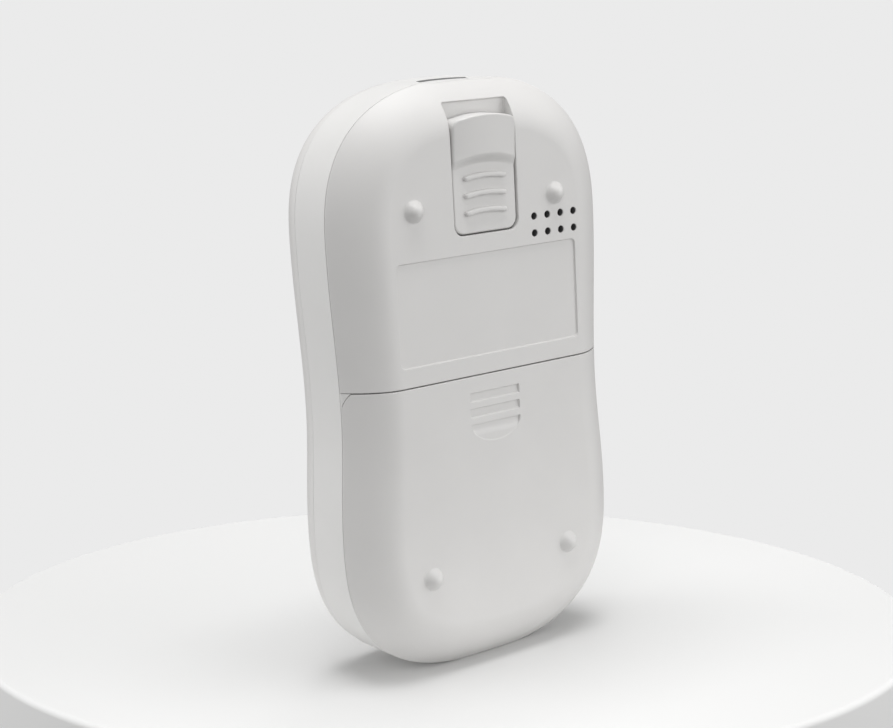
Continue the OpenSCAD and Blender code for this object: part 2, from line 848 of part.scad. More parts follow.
// A chip whose place is given by its share of the room between the tray and the connector
module chip(x, share, w, h) {
    z = tray_z1 + share * (connector_z0 - tray_z1);
    block(x - w / 2, x + w / 2, board_rear_y, board_rear_y + chip_t, z - h / 2, z + h / 2);
}

module board_chips() {
    color(dark_color) {
        chip(chip_side * 0.4, 0.4, chip_side, chip_side);
        chip(chip_side * 1.5, 0.62, chip_side / 2, chip_side * 0.6);
        chip(-chip_side * 0.8, 0.3, chip_side * 0.6, chip_side * 0.4);
        chip(chip_side * 1.6, 0.25, chip_side * 0.3, chip_side * 0.7);
    }
}

module strip_connector() {
    color(dark_color)
        difference() {
            block(-connector_half, connector_half, board_rear_y, connector_y1, connector_z0, connector_z1);
            block(-strip_slot_w / 2 + 1.2, strip_slot_w / 2 - 1.2, strip_y - 0.4, strip_y + 0.4,
                connector_z0 - over, connector_z1 + over);
            for (x = contact_x)
                block(x - 0.5, x + 0.5, board_rear_y + 0.8, strip_y, connector_z0 + 1, connector_z0 + 6);
        }
}

contact_pitch = 1.6;
contact_x = [for (i = [-2:2]) i * contact_pitch];

// Sprung metal fingers, each bent up to the strip from a foot on the housing floor
module connector_contacts() {
    foot_y = board_rear_y + 0.8;
    bent_y = strip_y - 0.5;
    z0 = connector_z0 + 1.2;
    color(gold_color)
        for (x = contact_x)
            translate([x, 0, 0]) rotate([90, 0, 90]) linear_extrude(0.6, center = true)
                polygon([[foot_y, z0], [foot_y, z0 + 4], [foot_y + 0.3, z0 + 4],
                    [bent_y, z0 + 1.6], [bent_y, z0 + 0.9], [foot_y + 0.3, z0 + 3.2],
                    [foot_y + 0.3, z0]]);
}

panel_half = lens_w / 2 - 2.8;
panel_z0 = lens_z0 + 2.2;
panel_z1 = lens_z1 - 2.2;
panel_t = 1.6;
holder_wall = 1;
panel_y1 = board_front_y - 1;

module display_panel() {
    color([0.62, 0.66, 0.60])
        block(-panel_half, panel_half, panel_y1 - panel_t, panel_y1, panel_z0, panel_z1);
}

module display_holder() {
    fit = 0.1;
    outer = panel_half + fit + holder_wall;
    color(inner_color)
        difference() {
            block(-outer, outer, panel_y1 - panel_t, board_front_y,
                panel_z0 - fit - holder_wall, panel_z1 + fit + holder_wall);
            block(-panel_half - fit, panel_half + fit, panel_y1 - panel_t - over, panel_y1 + fit / 2,
                panel_z0 - fit, panel_z1 + fit);
            block(-panel_half + 1.5, panel_half - 1.5, -far, far, panel_z0 - fit, panel_z1 - 1.5);
        }
}

// The rubber strip that joins the display to the board
module display_connector() {
    color([0.35, 0.35, 0.36])
        block(-panel_half + 2, panel_half - 2, panel_y1, board_front_y, panel_z0 + 0.5, panel_z0 + 2.5);
}

module button_switches() {
    color(metal_color)
        for (at = [[0, main_button_z], [side_button_x, side_button_z], [-side_button_x, side_button_z]]) {
            block(at[0] - 2, at[0] + 2, switch_y + 0.3, board_front_y, at[1] - 2, at[1] + 2);
            peg(at, 1, switch_y, switch_y + over);
        }
}

// ---------------------------------------------------------------- sound

gasket_t = 0.6;

module speaker_gasket() {
    color(dark_color)
        tube([speaker_x, speaker_z], speaker_d / 2, speaker_d / 2 - 1,
            speaker_seat_y - gasket_t, speaker_seat_y);
}

module speaker() {
    y1 = speaker_seat_y - gasket_t;
    color(metal_color) {
        peg([speaker_x, speaker_z], speaker_d / 2, y1 - speaker_t * 0.5, y1);
        peg([speaker_x, speaker_z], speaker_d * 0.32, y1 - speaker_t, y1);
    }
}

// ---------------------------------------------------------------- screws

module case_screws() {
    color(metal_color)
        for (at = case_screw_at) screw(at, case_screw_r, board_rear_y + tray_ear_t, case_shank);
}

module board_screws() {
    color(metal_color)
        for (at = board_screw_at)
            screw(at, small_screw_r, board_rear_y, board_rear_y - front_inner_y - 0.4);
}

module cover_screws() {
    color(metal_color)
        for (at = cover_screw_at) screw(at, small_screw_r, rear_part_y - door_gap + ear_t, 6);
}

front_cover();
display_lens();
main_button();
up_button();
down_button();
mid_band();
strip_guide();
rear_cover();
eject_slider();
eject_carriage();
eject_spring();
battery_door();
battery_tray();
battery_left();
battery_right();
battery_springs();
battery_plates();
main_board();
board_chips();
strip_connector();
connector_contacts();
display_panel();
display_holder();
display_connector();
button_switches();
speaker();
speaker_gasket();
case_screws();
board_screws();
cover_screws();
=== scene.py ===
"""Looks of a hand-held blood glucose meter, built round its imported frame."""
import math
from functools import cache

import bpy
import numpy as np
from mathutils import Matrix, Vector
from mathutils.geometry import delaunay_2d_cdt
from mathutils.kdtree import KDTree


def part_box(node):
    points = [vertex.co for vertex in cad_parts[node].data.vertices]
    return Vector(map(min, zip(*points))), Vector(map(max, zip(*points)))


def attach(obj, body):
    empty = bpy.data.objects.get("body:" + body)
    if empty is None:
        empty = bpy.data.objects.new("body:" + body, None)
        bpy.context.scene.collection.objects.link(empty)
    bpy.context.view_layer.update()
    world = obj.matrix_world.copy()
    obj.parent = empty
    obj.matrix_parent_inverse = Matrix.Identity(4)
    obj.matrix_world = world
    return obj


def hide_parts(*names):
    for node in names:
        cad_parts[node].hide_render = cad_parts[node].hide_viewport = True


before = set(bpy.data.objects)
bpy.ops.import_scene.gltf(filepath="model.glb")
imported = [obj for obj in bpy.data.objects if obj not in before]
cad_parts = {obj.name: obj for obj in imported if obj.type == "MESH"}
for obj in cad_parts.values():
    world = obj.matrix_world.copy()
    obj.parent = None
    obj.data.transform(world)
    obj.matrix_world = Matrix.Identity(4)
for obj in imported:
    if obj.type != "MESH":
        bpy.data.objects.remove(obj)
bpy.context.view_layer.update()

bl_info = {
    "name": "Blood Glucose Meter",
    "version": (1, 0, 0),
    "blender": (4, 5, 0),
    "location": "View3D > Sidebar > Meter",
    "description": "Builds the housing, slider, door, display and keys of a blood glucose meter",
    "category": "Object",
}

MM = 0.001
PHOTO_WIDTH = 893
PHOTO_HEIGHT = 728


def high(node):
    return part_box(node)[1] / MM


# ---------------------------------------------------------------- properties

def length(name, description, default_mm, least_mm, most_mm):
    """A size that the panel shows as a length"""
    return bpy.props.FloatProperty(
        name=name, description=description, default=default_mm * MM, min=least_mm * MM,
        max=most_mm * MM, unit="LENGTH", precision=5)


def colour(name, description, red, green, blue):
    return bpy.props.FloatVectorProperty(
        name=name, description=description, default=(red, green, blue), min=0, max=1,
        subtype="COLOR", size=3)


class MeterSizes(bpy.types.PropertyGroup):
    """Sizes of the moulded pieces"""
    edge: length("Edge rounding", "Rounding of the moulded edges", 0.15, 0.05, 0.3)
    nub_height: length("Nub height", "Height of the four moulded nubs", 1.59, 1, 2)
    nub_foot: length("Nub foot", "Radius at which a nub runs out into the shell", 1.95, 1.6, 3)
    label_depth: length("Label depth", "Depth of the label recess", 0.3, 0.1, 0.5)
    grip_depth: length("Grip depth", "Depth of the thumb grip's grooves", 0.45, 0.3, 0.9)
    rib_height: length("Rib height", "Height of the slider's finger ribs", 0.4, 0.2, 0.6)
    rib_width: length("Rib width", "Width of the slider's finger ribs", 1.3, 0.6, 1.6)
    ribs: bpy.props.IntProperty(
        name="Ribs", description="Number of finger ribs on the slider", default=3, min=1, max=4)
    key_dome: length("Key dome", "Radius of the main key's crown", 15.6, 12, 30)


class MeterColours(bpy.types.PropertyGroup):
    """Colours of the meter and its stage"""
    shell: colour("Shell", "Shells, slider and battery door", 0.66, 0.652, 0.642)
    band: colour("Band", "Side band", 0.69, 0.685, 0.675)
    key: colour("Main key", "Main key", 0.045, 0.10, 0.17)
    side_key: colour("Side keys", "The two small keys", 0.33, 0.35, 0.37)
    inner: colour("Inner mouldings", "Tray, carriage and holder", 0.50, 0.51, 0.52)
    dark: colour("Dark mouldings", "Strip connector and strip guide", 0.02, 0.02, 0.022)
    sleeve: colour("Cell sleeve", "Plain sleeve of the two cells", 0.05, 0.15, 0.30)
    board: colour("Board", "Solder mask of the main board", 0.006, 0.075, 0.028)
    table: colour("Table", "Table top under the meter", 0.765, 0.765, 0.76)


def size(name):
    """A size of the panel, in millimetres"""
    return getattr(bpy.context.scene.meter_sizes, name) / MM


def tint(name):
    return (*getattr(bpy.context.scene.meter_colours, name), 1)


# ---------------------------------------------------------------- outline

BODY_H = high("mid_band").z
LOWER_HALF = high("mid_band").x
UPPER_HALF = LOWER_HALF - 0.2
WAIST_HALF = LOWER_HALF - 1.1
UPPER_Z = BODY_H - 24
WAIST_Z = 45.6
LOWER_Z = 24.3
FLAT_CUT = 0.3
UPPER_ROUND = 2.5
LOWER_ROUND = 2.6

REAR_PART_Y = 5.0
FRONT_PART_Y = -3.7
REAR_Y = 10.6
FRONT_Y = -9.4
STRAIGHT = 0.6
SHELL_STEP = 0.1
SHELL_WALL = 1.5
REAR_LIP = 0.12
REAR_SHOULDER = 8.2
SLOPE_WALL = 1.8
FRONT_SHOULDER = 6.0
DOOR_Z = 49.0
DOOR_GAP = 0.25
GROOVE_DEPTH = 0.5
BAND_WALL = 2.0


def cap_points(half_w, rise, power, steps):
    """A quarter of an end, from its top round to its widest point"""
    angle = np.linspace(math.pi / 2, 0, steps + 1)
    cos = np.clip(np.cos(angle), 0, 1)
    sin = np.clip(np.sin(angle), 0, 1)
    return np.stack([half_w * cos ** (2 / power), rise * sin ** (2 / power)], 1)


def waist_points(bulge_half, bulge_z, steps):
    """The side, from a bulge to the waist"""
    s = np.linspace(0, 1, steps + 1)
    x = bulge_half + (WAIST_HALF - bulge_half) * (1 - np.cos(math.pi * s)) / 2
    return np.stack([x, bulge_z + (WAIST_Z - bulge_z) * s], 1)


class Outline:
    """The waisted outline, clockwise from its top, and how deep a point lies inside it"""

    def __init__(self):
        upper = cap_points(UPPER_HALF, BODY_H - UPPER_Z, UPPER_ROUND, 400) + [0, UPPER_Z]
        lower = cap_points(LOWER_HALF, LOWER_Z + FLAT_CUT, LOWER_ROUND, 400)[::-1] * [1, -1]
        half = np.concatenate([
            upper, waist_points(UPPER_HALF, UPPER_Z, 200)[1:],
            waist_points(LOWER_HALF, LOWER_Z, 200)[::-1][1:], (lower + [0, LOWER_Z])[1:]])
        loop = np.concatenate([half, half[-2:0:-1] * [-1, 1]])
        self.dense = self.spread(loop, 5200)
        self.fine = self.normals(self.dense)
        self.tree = KDTree(len(self.dense))
        for i, (x, z) in enumerate(self.dense):
            self.tree.insert((x, z, 0), i)
        self.tree.balance()

    @staticmethod
    def spread(loop, count):
        """The same loop with evenly spaced points"""
        closed = np.concatenate([loop, loop[:1]])
        run = np.concatenate([[0], np.cumsum(np.linalg.norm(np.diff(closed, axis=0), axis=1))])
        at = np.linspace(0, run[-1], count, endpoint=False)
        return np.stack([np.interp(at, run, closed[:, k]) for k in (0, 1)], 1)

    @staticmethod
    def normals(loop):
        """Inward normals of a clockwise loop"""
        t = np.roll(loop, -2, 0) - np.roll(loop, 2, 0)
        t /= np.linalg.norm(t, axis=1)[:, None]
        return np.stack([t[:, 1], -t[:, 0]], 1)

    def ring(self, depth, count):
        """Points at that depth, before the flat at the lower end is cut"""
        step = len(self.dense) // count
        return (self.dense + depth * self.fine)[::step]

    def depth(self, points):
        """Depth below the outline and the inward normal, at each point"""
        found = [self.tree.find((x, z, 0))[1] for x, z in points]
        normal = self.fine[found]
        return ((points - self.dense[found]) * normal).sum(1), normal


def rear_share(depth):
    """How far up the rear shoulder a depth lies, from 0 at the band to 1 at the flat"""
    return np.clip((depth - SHELL_STEP) / REAR_SHOULDER, 0, 1)


def rear_height(depth):
    """The rear shell leaves the band on a slope and runs out into the flat"""
    rise = REAR_Y - REAR_PART_Y - REAR_LIP
    return REAR_PART_Y + REAR_LIP + rise * (1 - (1 - rear_share(depth)) ** 2)


def rear_depths():
    """The depths at which the rear shell's rings lie"""
    rings = [SHELL_STEP + REAR_SHOULDER * k / 20 for k in range(21)]
    return sorted([*rings, SHELL_STEP + SLOPE_WALL])


def rear_under(depth):
    """The rear shell's inner face"""
    t = np.clip((depth - SHELL_STEP - SLOPE_WALL) / (REAR_SHOULDER - SLOPE_WALL), 0, 1)
    return REAR_PART_Y + (REAR_Y - SHELL_WALL - REAR_PART_Y) * (1 - (1 - t) ** 2)


def front_height(depth):
    """Height of the front shell, counted towards -Y: a straight wall, then a quarter ellipse"""
    t = np.clip(1 - (depth - SHELL_STEP) / FRONT_SHOULDER, 0, 1)
    rise = FRONT_PART_Y - FRONT_Y - STRAIGHT
    return -FRONT_PART_Y + STRAIGHT + rise * np.sqrt(1 - t * t)


def front_depths():
    rings = [SHELL_STEP + FRONT_SHOULDER * (1 - math.cos(math.radians(a))) for a in range(0, 91, 5)]
    return sorted([*rings, SHELL_STEP + SHELL_WALL, SHELL_STEP + SHELL_WALL + 0.03])


def front_under(depth):
    """The front shell's inner face"""
    t = np.clip((SHELL_STEP + FRONT_SHOULDER - depth) / (FRONT_SHOULDER - SHELL_WALL), 0, 1)
    rise = FRONT_PART_Y - FRONT_Y - STRAIGHT - SHELL_WALL
    inside = -FRONT_PART_Y + STRAIGHT + rise * np.sqrt(1 - t * t)
    return np.where(depth < SHELL_STEP + SHELL_WALL + 0.01, -FRONT_PART_Y, inside)


SLOT_HALF = 5.0
SLOT_Y = 0.65
SLOT_T = 0.6
DISH_FRONT = 0.2
DISH_REAR = 0.42
DISH_DEEP = 3.8
DISH_END = 8.1
DISH_RUN = 3.4


def ease(t):
    """A smooth step from 0 to 1"""
    t = np.clip(t, 0, 1)
    return t * t * (3 - 2 * t)


def dish(x, y):
    """How far the top is lowered round the strip slot, more on the slot's rear side"""
    front = DISH_FRONT * np.clip(1 - ((y - SLOT_Y) / DISH_DEEP) ** 2, 0, 1)
    return np.where(y < SLOT_Y, front, DISH_REAR) * ease((DISH_END - np.abs(x)) / DISH_RUN)


# ---------------------------------------------------------------- distances and edges

def rect_distance(x, z, x0, z0, x1, z1, radius):
    """Distance outside a rounded rectangle; a pair of radii is for its upper and lower corners"""
    if isinstance(radius, tuple):
        radius = np.where(z > (z0 + z1) / 2, *radius)
    qx = np.abs(x - (x0 + x1) / 2) - (x1 - x0) / 2 + radius
    qz = np.abs(z - (z0 + z1) / 2) - (z1 - z0) / 2 + radius
    outside = np.hypot(np.maximum(qx, 0), np.maximum(qz, 0))
    return outside + np.minimum(np.maximum(qx, qz), 0) - radius


def rect_loop(x0, z0, x1, z1, radius, grow=0.0, steps=8):
    """A rounded rectangle, grown outwards"""
    upper, lower = radius if isinstance(radius, tuple) else (radius, radius)
    upper, lower = max(upper + grow, 0.02), max(lower + grow, 0.02)
    x0, z0, x1, z1 = x0 - grow, z0 - grow, x1 + grow, z1 + grow
    corners = ((x1 - upper, z1 - upper, upper), (x0 + upper, z1 - upper, upper),
               (x0 + lower, z0 + lower, lower), (x1 - lower, z0 + lower, lower))
    return np.array([(cx + r * math.cos(a), cz + r * math.sin(a))
                     for k, (cx, cz, r) in enumerate(corners)
                     for a in (math.pi / 2 * (k + i / steps) for i in range(steps + 1))])


def circle_loop(x, z, radius, steps=40):
    angle = np.linspace(0, 2 * math.pi, steps, endpoint=False)
    return np.stack([x + radius * np.cos(angle), z + radius * np.sin(angle)], 1)


EDGE_STEPS = np.array((0.0, 0.03, 0.12, 0.29, 0.5, 0.75, 1.0))
EDGE_LINES = EDGE_STEPS[1:]
DRAFT = 0.03


def round_off(distance, radius):
    """How much a rounded edge drops the surface, at a distance inside the edge or outside it"""
    t = np.clip(1 - distance / radius, 0, 1)
    return radius * (1 - np.sqrt(1 - t * t))


def pocket(outside, surface, floor, edge, foot):
    """A surface with a pocket down to floor, at a distance outside the pocket's rim"""
    rim = surface - round_off(outside, edge)
    inside = -outside
    down = np.clip(inside / DRAFT, 0, 1)
    wall = (surface - edge) * (1 - down) + (floor + foot) * down
    t = np.clip(1 - (inside - DRAFT) / foot, 0, 1)
    base = floor + foot - foot * np.sqrt(1 - t * t)
    return np.where(outside >= 0, rim, np.where(inside < DRAFT, wall, base))


def pocket_grows(edge, foot):
    """How far the loops that shape a pocket's rim and foot are grown"""
    return [*(edge * EDGE_STEPS), *(-DRAFT - foot * EDGE_STEPS)]


# ---------------------------------------------------------------- meshes

def placed(name, data):
    """A new object of the scene, at the origin"""
    obj = bpy.data.objects.new(name, data)
    bpy.context.scene.collection.objects.link(obj)
    return obj


def level(y):
    """A flat face at that height"""
    return lambda x, z, depth: np.full(len(x), y)


class Solid:
    """Gathers closed parts of one piece, with a normal for each face corner"""

    def __init__(self):
        self.verts, self.faces, self.normals = [], [], []

    def add(self, verts, faces, normals):
        base = len(self.verts)
        self.verts.extend(map(tuple, verts))
        self.faces.extend(tuple(base + i for i in face) for face in faces)
        self.normals.extend(map(tuple, normals))

    def add_flat(self, verts, faces):
        """Faces with hard edges"""
        normals = []
        for face in faces:
            a, b, c = (Vector(verts[i]) for i in face[:3])
            normals.extend([tuple((b - a).cross(c - a).normalized())] * len(face))
        self.add(verts, faces, normals)

    def add_smooth(self, verts, faces):
        """Faces with normals that are smooth over flat angles"""
        mesh = bpy.data.meshes.new("scratch")
        mesh.from_pydata(verts, [], faces)
        mesh.shade_smooth()
        mesh.set_sharp_from_angle(angle=math.radians(38))
        mesh.validate()
        self.add([tuple(v.co) for v in mesh.vertices], [tuple(p.vertices) for p in mesh.polygons],
                 [tuple(c.vector) for c in mesh.corner_normals])
        bpy.data.meshes.remove(mesh)

    def box(self, x0, x1, y0, y1, z0, z1):
        verts = [(x, y, z) for x in (x0, x1) for y in (y0, y1) for z in (z0, z1)]
        self.add_flat(verts, [(0, 1, 3, 2), (4, 6, 7, 5), (0, 4, 5, 1), (2, 3, 7, 6),
                              (0, 2, 6, 4), (1, 5, 7, 3)])

    def tube(self, x, z, radius, bore, y0, y1, steps=32):
        """A sleeve along Y"""
        turn = [(math.cos(2 * math.pi * i / steps), math.sin(2 * math.pi * i / steps))
                for i in range(steps)]
        verts, faces, normals = [], [], []
        for r, y in ((radius, y0), (radius, y1), (bore, y1), (bore, y0)):
            verts.extend((x + r * c, y, z + r * s) for c, s in turn)
        for row, side in enumerate((1, None, -1, None)):
            for i in range(steps):
                j = (i + 1) % steps
                after = (row + 1) % 4 * steps
                faces.append((row * steps + i, after + i, after + j, row * steps + j))
                if side is None:
                    normals.extend([(0, 1 if row == 1 else -1, 0)] * 4)
                else:
                    for k in (i, i, j, j):
                        normals.append((side * turn[k][0], 0, side * turn[k][1]))
        self.add(verts, faces, normals)

    def piece(self, name, body, slot, *replaced, made=None):
        """The finished object, in metres, and what it rides on, its slot and its nodes"""
        mesh = bpy.data.meshes.new(name)
        mesh.from_pydata([tuple(c * MM for c in v) for v in self.verts], [], self.faces)
        mesh.shade_smooth()
        mesh.normals_split_custom_set(self.normals)
        mesh.materials.append(made or plastic(slot))
        wear(placed(name, mesh), body, slot, *replaced)


class Relief:
    """A closed plate whose face is a height over the X-Z plane, cut to loops"""

    def __init__(self, border, holes=(), outline=None):
        self.loops = [np.asarray(border), *[np.asarray(h) for h in holes]]
        self.outline = outline
        self.points, self.edges = [], []
        for loop in self.loops:
            self.line(loop)

    def line(self, points, closed=True):
        """A line that the face's triangles follow"""
        base = len(self.points)
        n = len(points)
        self.points.extend(Vector((float(x), float(z))) for x, z in points)
        self.edges.extend((base + i, base + i + 1) for i in range(n - 1))
        if closed:
            self.edges.append((base + n - 1, base))

    def across(self, heights, half=40.0):
        """Lines along X at those heights"""
        for z in heights:
            self.line([(-half, z), (half, z)], closed=False)

    def rects(self, rect, grows, steps=8):
        """Lines round a rounded rectangle, each grown by so much"""
        for grow in grows:
            self.line(rect_loop(*rect, grow, steps))

    def circles(self, x, z, radii, steps):
        for radius in radii:
            self.line(circle_loop(x, z, radius, steps))

    def rings(self, depths, z0, z1):
        """The outline's rings between two heights"""
        for depth in depths:
            ring = self.outline.ring(depth, 400)
            keep = (ring[:, 1] > z0) & (ring[:, 1] < z1)
            n = len(ring)
            base = len(self.points)
            place = {}
            for i in np.flatnonzero(keep):
                place[int(i)] = base + len(place)
                self.points.append(Vector((float(ring[i, 0]), float(ring[i, 1]))))
            self.edges.extend((a, place[(i + 1) % n]) for i, a in place.items()
                              if (i + 1) % n in place)

    def inside(self, points):
        """Whether each point lies in the border and in no hole"""
        odd = np.zeros(len(points), bool)
        x, z = points[:, :1], points[:, 1:]
        for loop in self.loops:
            a, b = loop, np.roll(loop, -1, 0)
            for k in range(0, len(loop), 64):
                ax, az = a[k:k + 64].T
                bx, bz = b[k:k + 64].T
                spans = (az > z) != (bz > z)
                with np.errstate(divide="ignore", invalid="ignore"):
                    cross = (bx - ax) * (z - az) / (bz - az) + ax
                odd ^= (spans & (x < cross)).sum(1) % 2 == 1
        return odd

    def triangles(self):
        """Corners and faces inside the loops, all wound the same way"""
        verts, _, faces, *_ = delaunay_2d_cdt(self.points, self.edges, [], 0, 1e-5, False)
        flat = np.array([(v.x, v.y) for v in verts])
        tris = np.array([f for f in faces if len(f) == 3])
        tris = tris[self.inside(flat[tris].mean(1))]
        a, b, c = (flat[tris[:, k]] for k in range(3))
        area = (b[:, 0] - a[:, 0]) * (c[:, 1] - a[:, 1]) - (b[:, 1] - a[:, 1]) * (c[:, 0] - a[:, 0])
        tris[area > 0] = tris[area > 0][:, ::-1]
        used, tris = np.unique(tris[np.abs(area) > 1e-9], return_inverse=True)
        return flat[used], tris.reshape(-1, 3)

    def build(self, solid, top, under, side=1):
        """Adds the plate; side is 1 where the face looks along +Y and -1 where along -Y"""
        flat, tris = self.triangles()
        n = len(flat)
        if self.outline:
            depth, inward = self.outline.depth(flat)
        else:
            depth, inward = np.zeros(n), np.zeros_like(flat)
        # The normal at each corner is taken a little inside its triangle, so that creases stay sharp
        toward = (flat[tris].mean(1)[:, None] - flat[tris]) * 0.02
        at = (flat[tris] + toward).reshape(-1, 2)
        lean = inward[tris].reshape(-1, 2)
        deep = depth[tris].reshape(-1) + (toward.reshape(-1, 2) * lean).sum(1)

        def height(ex, ez):
            return top(at[:, 0] + ex, at[:, 1] + ez, deep + lean @ [ex, ez])

        step = 1e-4
        slope_x, slope_z = ((height(ex, ez) - height(-ex, -ez)) / (2 * step)
                            for ex, ez in ((step, 0), (0, step)))
        normal = np.stack([-slope_x, np.full(len(at), float(side)), -slope_z], 1)
        normal /= np.linalg.norm(normal, axis=1)[:, None]
        upper, lower = (np.stack([flat[:, 0], side * face(*flat.T, depth), flat[:, 1]], 1)
                        for face in (top, under))
        faces = [tuple(t[::side]) for t in tris]
        faces += [tuple(n + i for i in reversed(f)) for f in faces]
        normals = list(normal.reshape(-1, 3, 3)[:, ::side].reshape(-1, 3))
        a, b, c = (lower[tris[:, k]] for k in range(3))
        dull = np.cross(b - a, c - a)
        dull /= np.maximum(np.linalg.norm(dull, axis=1), 1e-12)[:, None]
        normals += [v for d in -dull for v in (d, d, d)]

        def outward(a, b):
            d = flat[b] - flat[a]
            d = d / max(np.linalg.norm(d), 1e-12)
            return np.array([-d[1], 0, d[0]])

        # The walls round the border and the holes, smooth where they bend a little
        directed = {(int(t[i]), int(t[(i + 1) % 3])) for t in tris for i in range(3)}
        rim = sorted((a, b) for a, b in directed if (b, a) not in directed)
        after = dict(rim)
        before = {b: a for a, b in rim}
        for a, b in rim:
            here = outward(a, b)
            ends = []
            for near in (outward(b, after[b]), outward(before[a], a)):
                both = here + near
                ends.append(both / np.linalg.norm(both) if float(here @ near) > 0.8 else here)
            faces.append((b, a, n + a, n + b)[::side])
            normals.extend([*ends, *ends[::-1]][::side])
        solid.add(np.concatenate([upper, lower]), faces, normals)


# ---------------------------------------------------------------- shaders

class Value:
    """A socket on which Python's operators add Math nodes"""

    def __init__(self, nodes, socket):
        self.nodes, self.socket = nodes, socket

    def maths(self, operation, *values):
        return self.nodes.node("ShaderNodeMath", {"operation": operation}, *values)

    def __add__(self, other):
        return self.maths("ADD", self, other)

    def __radd__(self, other):
        return self.maths("ADD", other, self)

    def __sub__(self, other):
        return self.maths("SUBTRACT", self, other)

    def __rsub__(self, other):
        return self.maths("SUBTRACT", other, self)

    def __mul__(self, other):
        return self.maths("MULTIPLY", self, other)

    def __rmul__(self, other):
        return self.maths("MULTIPLY", other, self)

    def __truediv__(self, other):
        return self.maths("DIVIDE", self, other)

    def __pow__(self, other):
        return self.maths("POWER", self, other)

    def __gt__(self, other):
        return self.maths("GREATER_THAN", self, other)

    def __abs__(self):
        return self.maths("ABSOLUTE", self)


class Nodes:
    """A node tree and the one method that adds nodes to it"""

    def __init__(self, tree):
        self.tree = tree

    def put(self, socket, value):
        if isinstance(value, Value):
            self.tree.links.new(value.socket, socket)
        else:
            socket.default_value = value

    def set(self, node, sockets):
        for key, value in sockets.items():
            self.put(node.inputs[key.replace("_", " ")], value)

    def node(self, kind, settings=None, *values, out=0, **named):
        made = self.tree.nodes.new(kind)
        for key, value in (settings or {}).items():
            setattr(made, key, value)
        for socket, value in zip(made.inputs, values):
            self.put(socket, value)
        self.set(made, named)
        return Value(self, made.outputs[out])


class Shade(Nodes):
    """A material's nodes"""

    def __init__(self, name, **surface):
        self.material = bpy.data.materials.new(name)
        self.material.use_nodes = True
        super().__init__(self.material.node_tree)
        self.surface = self.tree.nodes["Principled BSDF"]
        self.set(self.surface, surface)

    def finish(self, base, roughness, **more):
        """Feeds the surface's colour, roughness and other inputs, and gives the material"""
        self.set(self.surface, {"Base Color": base, "Roughness": roughness, **more})
        return self.material

    def place(self):
        return self.node("ShaderNodeTexCoord", out="Object")

    def axes(self):
        """The object's own x, y and z, in millimetres"""
        split = self.node("ShaderNodeSeparateXYZ", None, self.place()).socket.node
        return [Value(self, split.outputs[k]) * (1 / MM) for k in range(3)]

    def noise(self, scale_mm, detail=2.0, roughness=0.5, where=None):
        """Noise whose features are about that many millimetres wide"""
        return self.node("ShaderNodeTexNoise", None, Vector=where or self.place(),
                         Scale=1 / (scale_mm * MM), Detail=detail, Roughness=roughness)

    def between(self, factor, first, second):
        """A mix of two colours"""
        made = self.tree.nodes.new("ShaderNodeMix")
        made.data_type = "RGBA"
        self.put(made.inputs["Factor"], factor)
        for socket, value in zip([s for s in made.inputs if s.type == "RGBA"], (first, second)):
            self.put(socket, value)
        return Value(self, [s for s in made.outputs if s.type == "RGBA"][0])

    def mottled(self, cloud, base, least, most):
        """A colour that wanders between two shares of itself"""
        return self.between(cloud, *((*(c * share for c in base[:3]), 1) for share in (least, most)))

    def bump(self, height, strength, reach_mm):
        """Feeds a height into the surface's normal"""
        normal = self.node("ShaderNodeBump", None, Height=height, Strength=strength,
                           Distance=reach_mm * MM, out="Normal")
        self.put(self.surface.inputs["Normal"], normal)


def moulded(name, base, roughness, grain_mm=0.11, strength=0.22, mottle=0.03):
    """Moulded plastic with a fine spark-eroded grain and a faint unevenness"""
    shade = Shade(name)
    cloud = shade.noise(9.0, 3.0)
    grain = shade.noise(grain_mm, 2.0, 0.6)
    shade.bump(grain, strength, 0.02)
    return shade.finish(shade.mottled(cloud, base, 1 - mottle, 1 + mottle),
                        roughness + (cloud - 0.5) * 0.10 + (grain - 0.5) * 0.08,
                        Specular_IOR_Level=0.42)


def metal(name, base, roughness):
    """Plated metal with fine drawn lines"""
    shade = Shade(name, Metallic=1.0)
    stretched = shade.node("ShaderNodeMapping", None, shade.place(), Scale=(1, 1, 0.08))
    lines = shade.noise(0.05, 2.0, 0.6, where=stretched)
    shade.bump(lines, 0.12, 0.01)
    return shade.finish(shade.mottled(shade.noise(1.5, 2.0), base, 0.9, 1.05),
                        roughness + (lines - 0.5) * 0.18)


DARK_MOTTLE = {"mottle": 0.08}
KEY_GRAIN = {"grain_mm": 0.16, "strength": 0.15, "mottle": 0.05}
# Colour, or the panel's name for it; roughness; what differs from the shell's texture
PLASTICS = {
    "shell_plastic": ("shell", 0.46, {}),
    "band_plastic": ("band", 0.50, {}),
    "inner_plastic": ("inner", 0.5, {}),
    "dark_plastic": ("dark", 0.45, DARK_MOTTLE),
    # Painted shade: a dark sleeve that darkens the walls of the speaker holes
    "hole_lining": ((0.11, 0.11, 0.112), 0.6, DARK_MOTTLE),
    # Painted shade: a grey sheet that darkens the walls of the strip slot
    "slot_grey": ((0.30, 0.30, 0.30), 0.6, DARK_MOTTLE),
    "key_dark": ("key", 0.42, KEY_GRAIN),
    "key_pale": ("side_key", 0.42, KEY_GRAIN),
    "soft_rubber": ((0.018, 0.018, 0.02), 0.72, {"grain_mm": 0.2, "strength": 0.3, "mottle": 0.1}),
    "chip_resin": ((0.012, 0.012, 0.013), 0.4, {"grain_mm": 0.08, "strength": 0.2, "mottle": 0.1}),
}


@cache
def plastic(name):
    """A moulded finish, made once"""
    base, roughness, texture = PLASTICS[name]
    return moulded(name, tint(base) if isinstance(base, str) else base, roughness, **texture)


def wear(obj, body, slot, *replaced):
    """Says what carries a piece and the nodes it stands for; its slot is not used"""
    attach(obj, body)
    if replaced:
        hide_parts(*replaced)


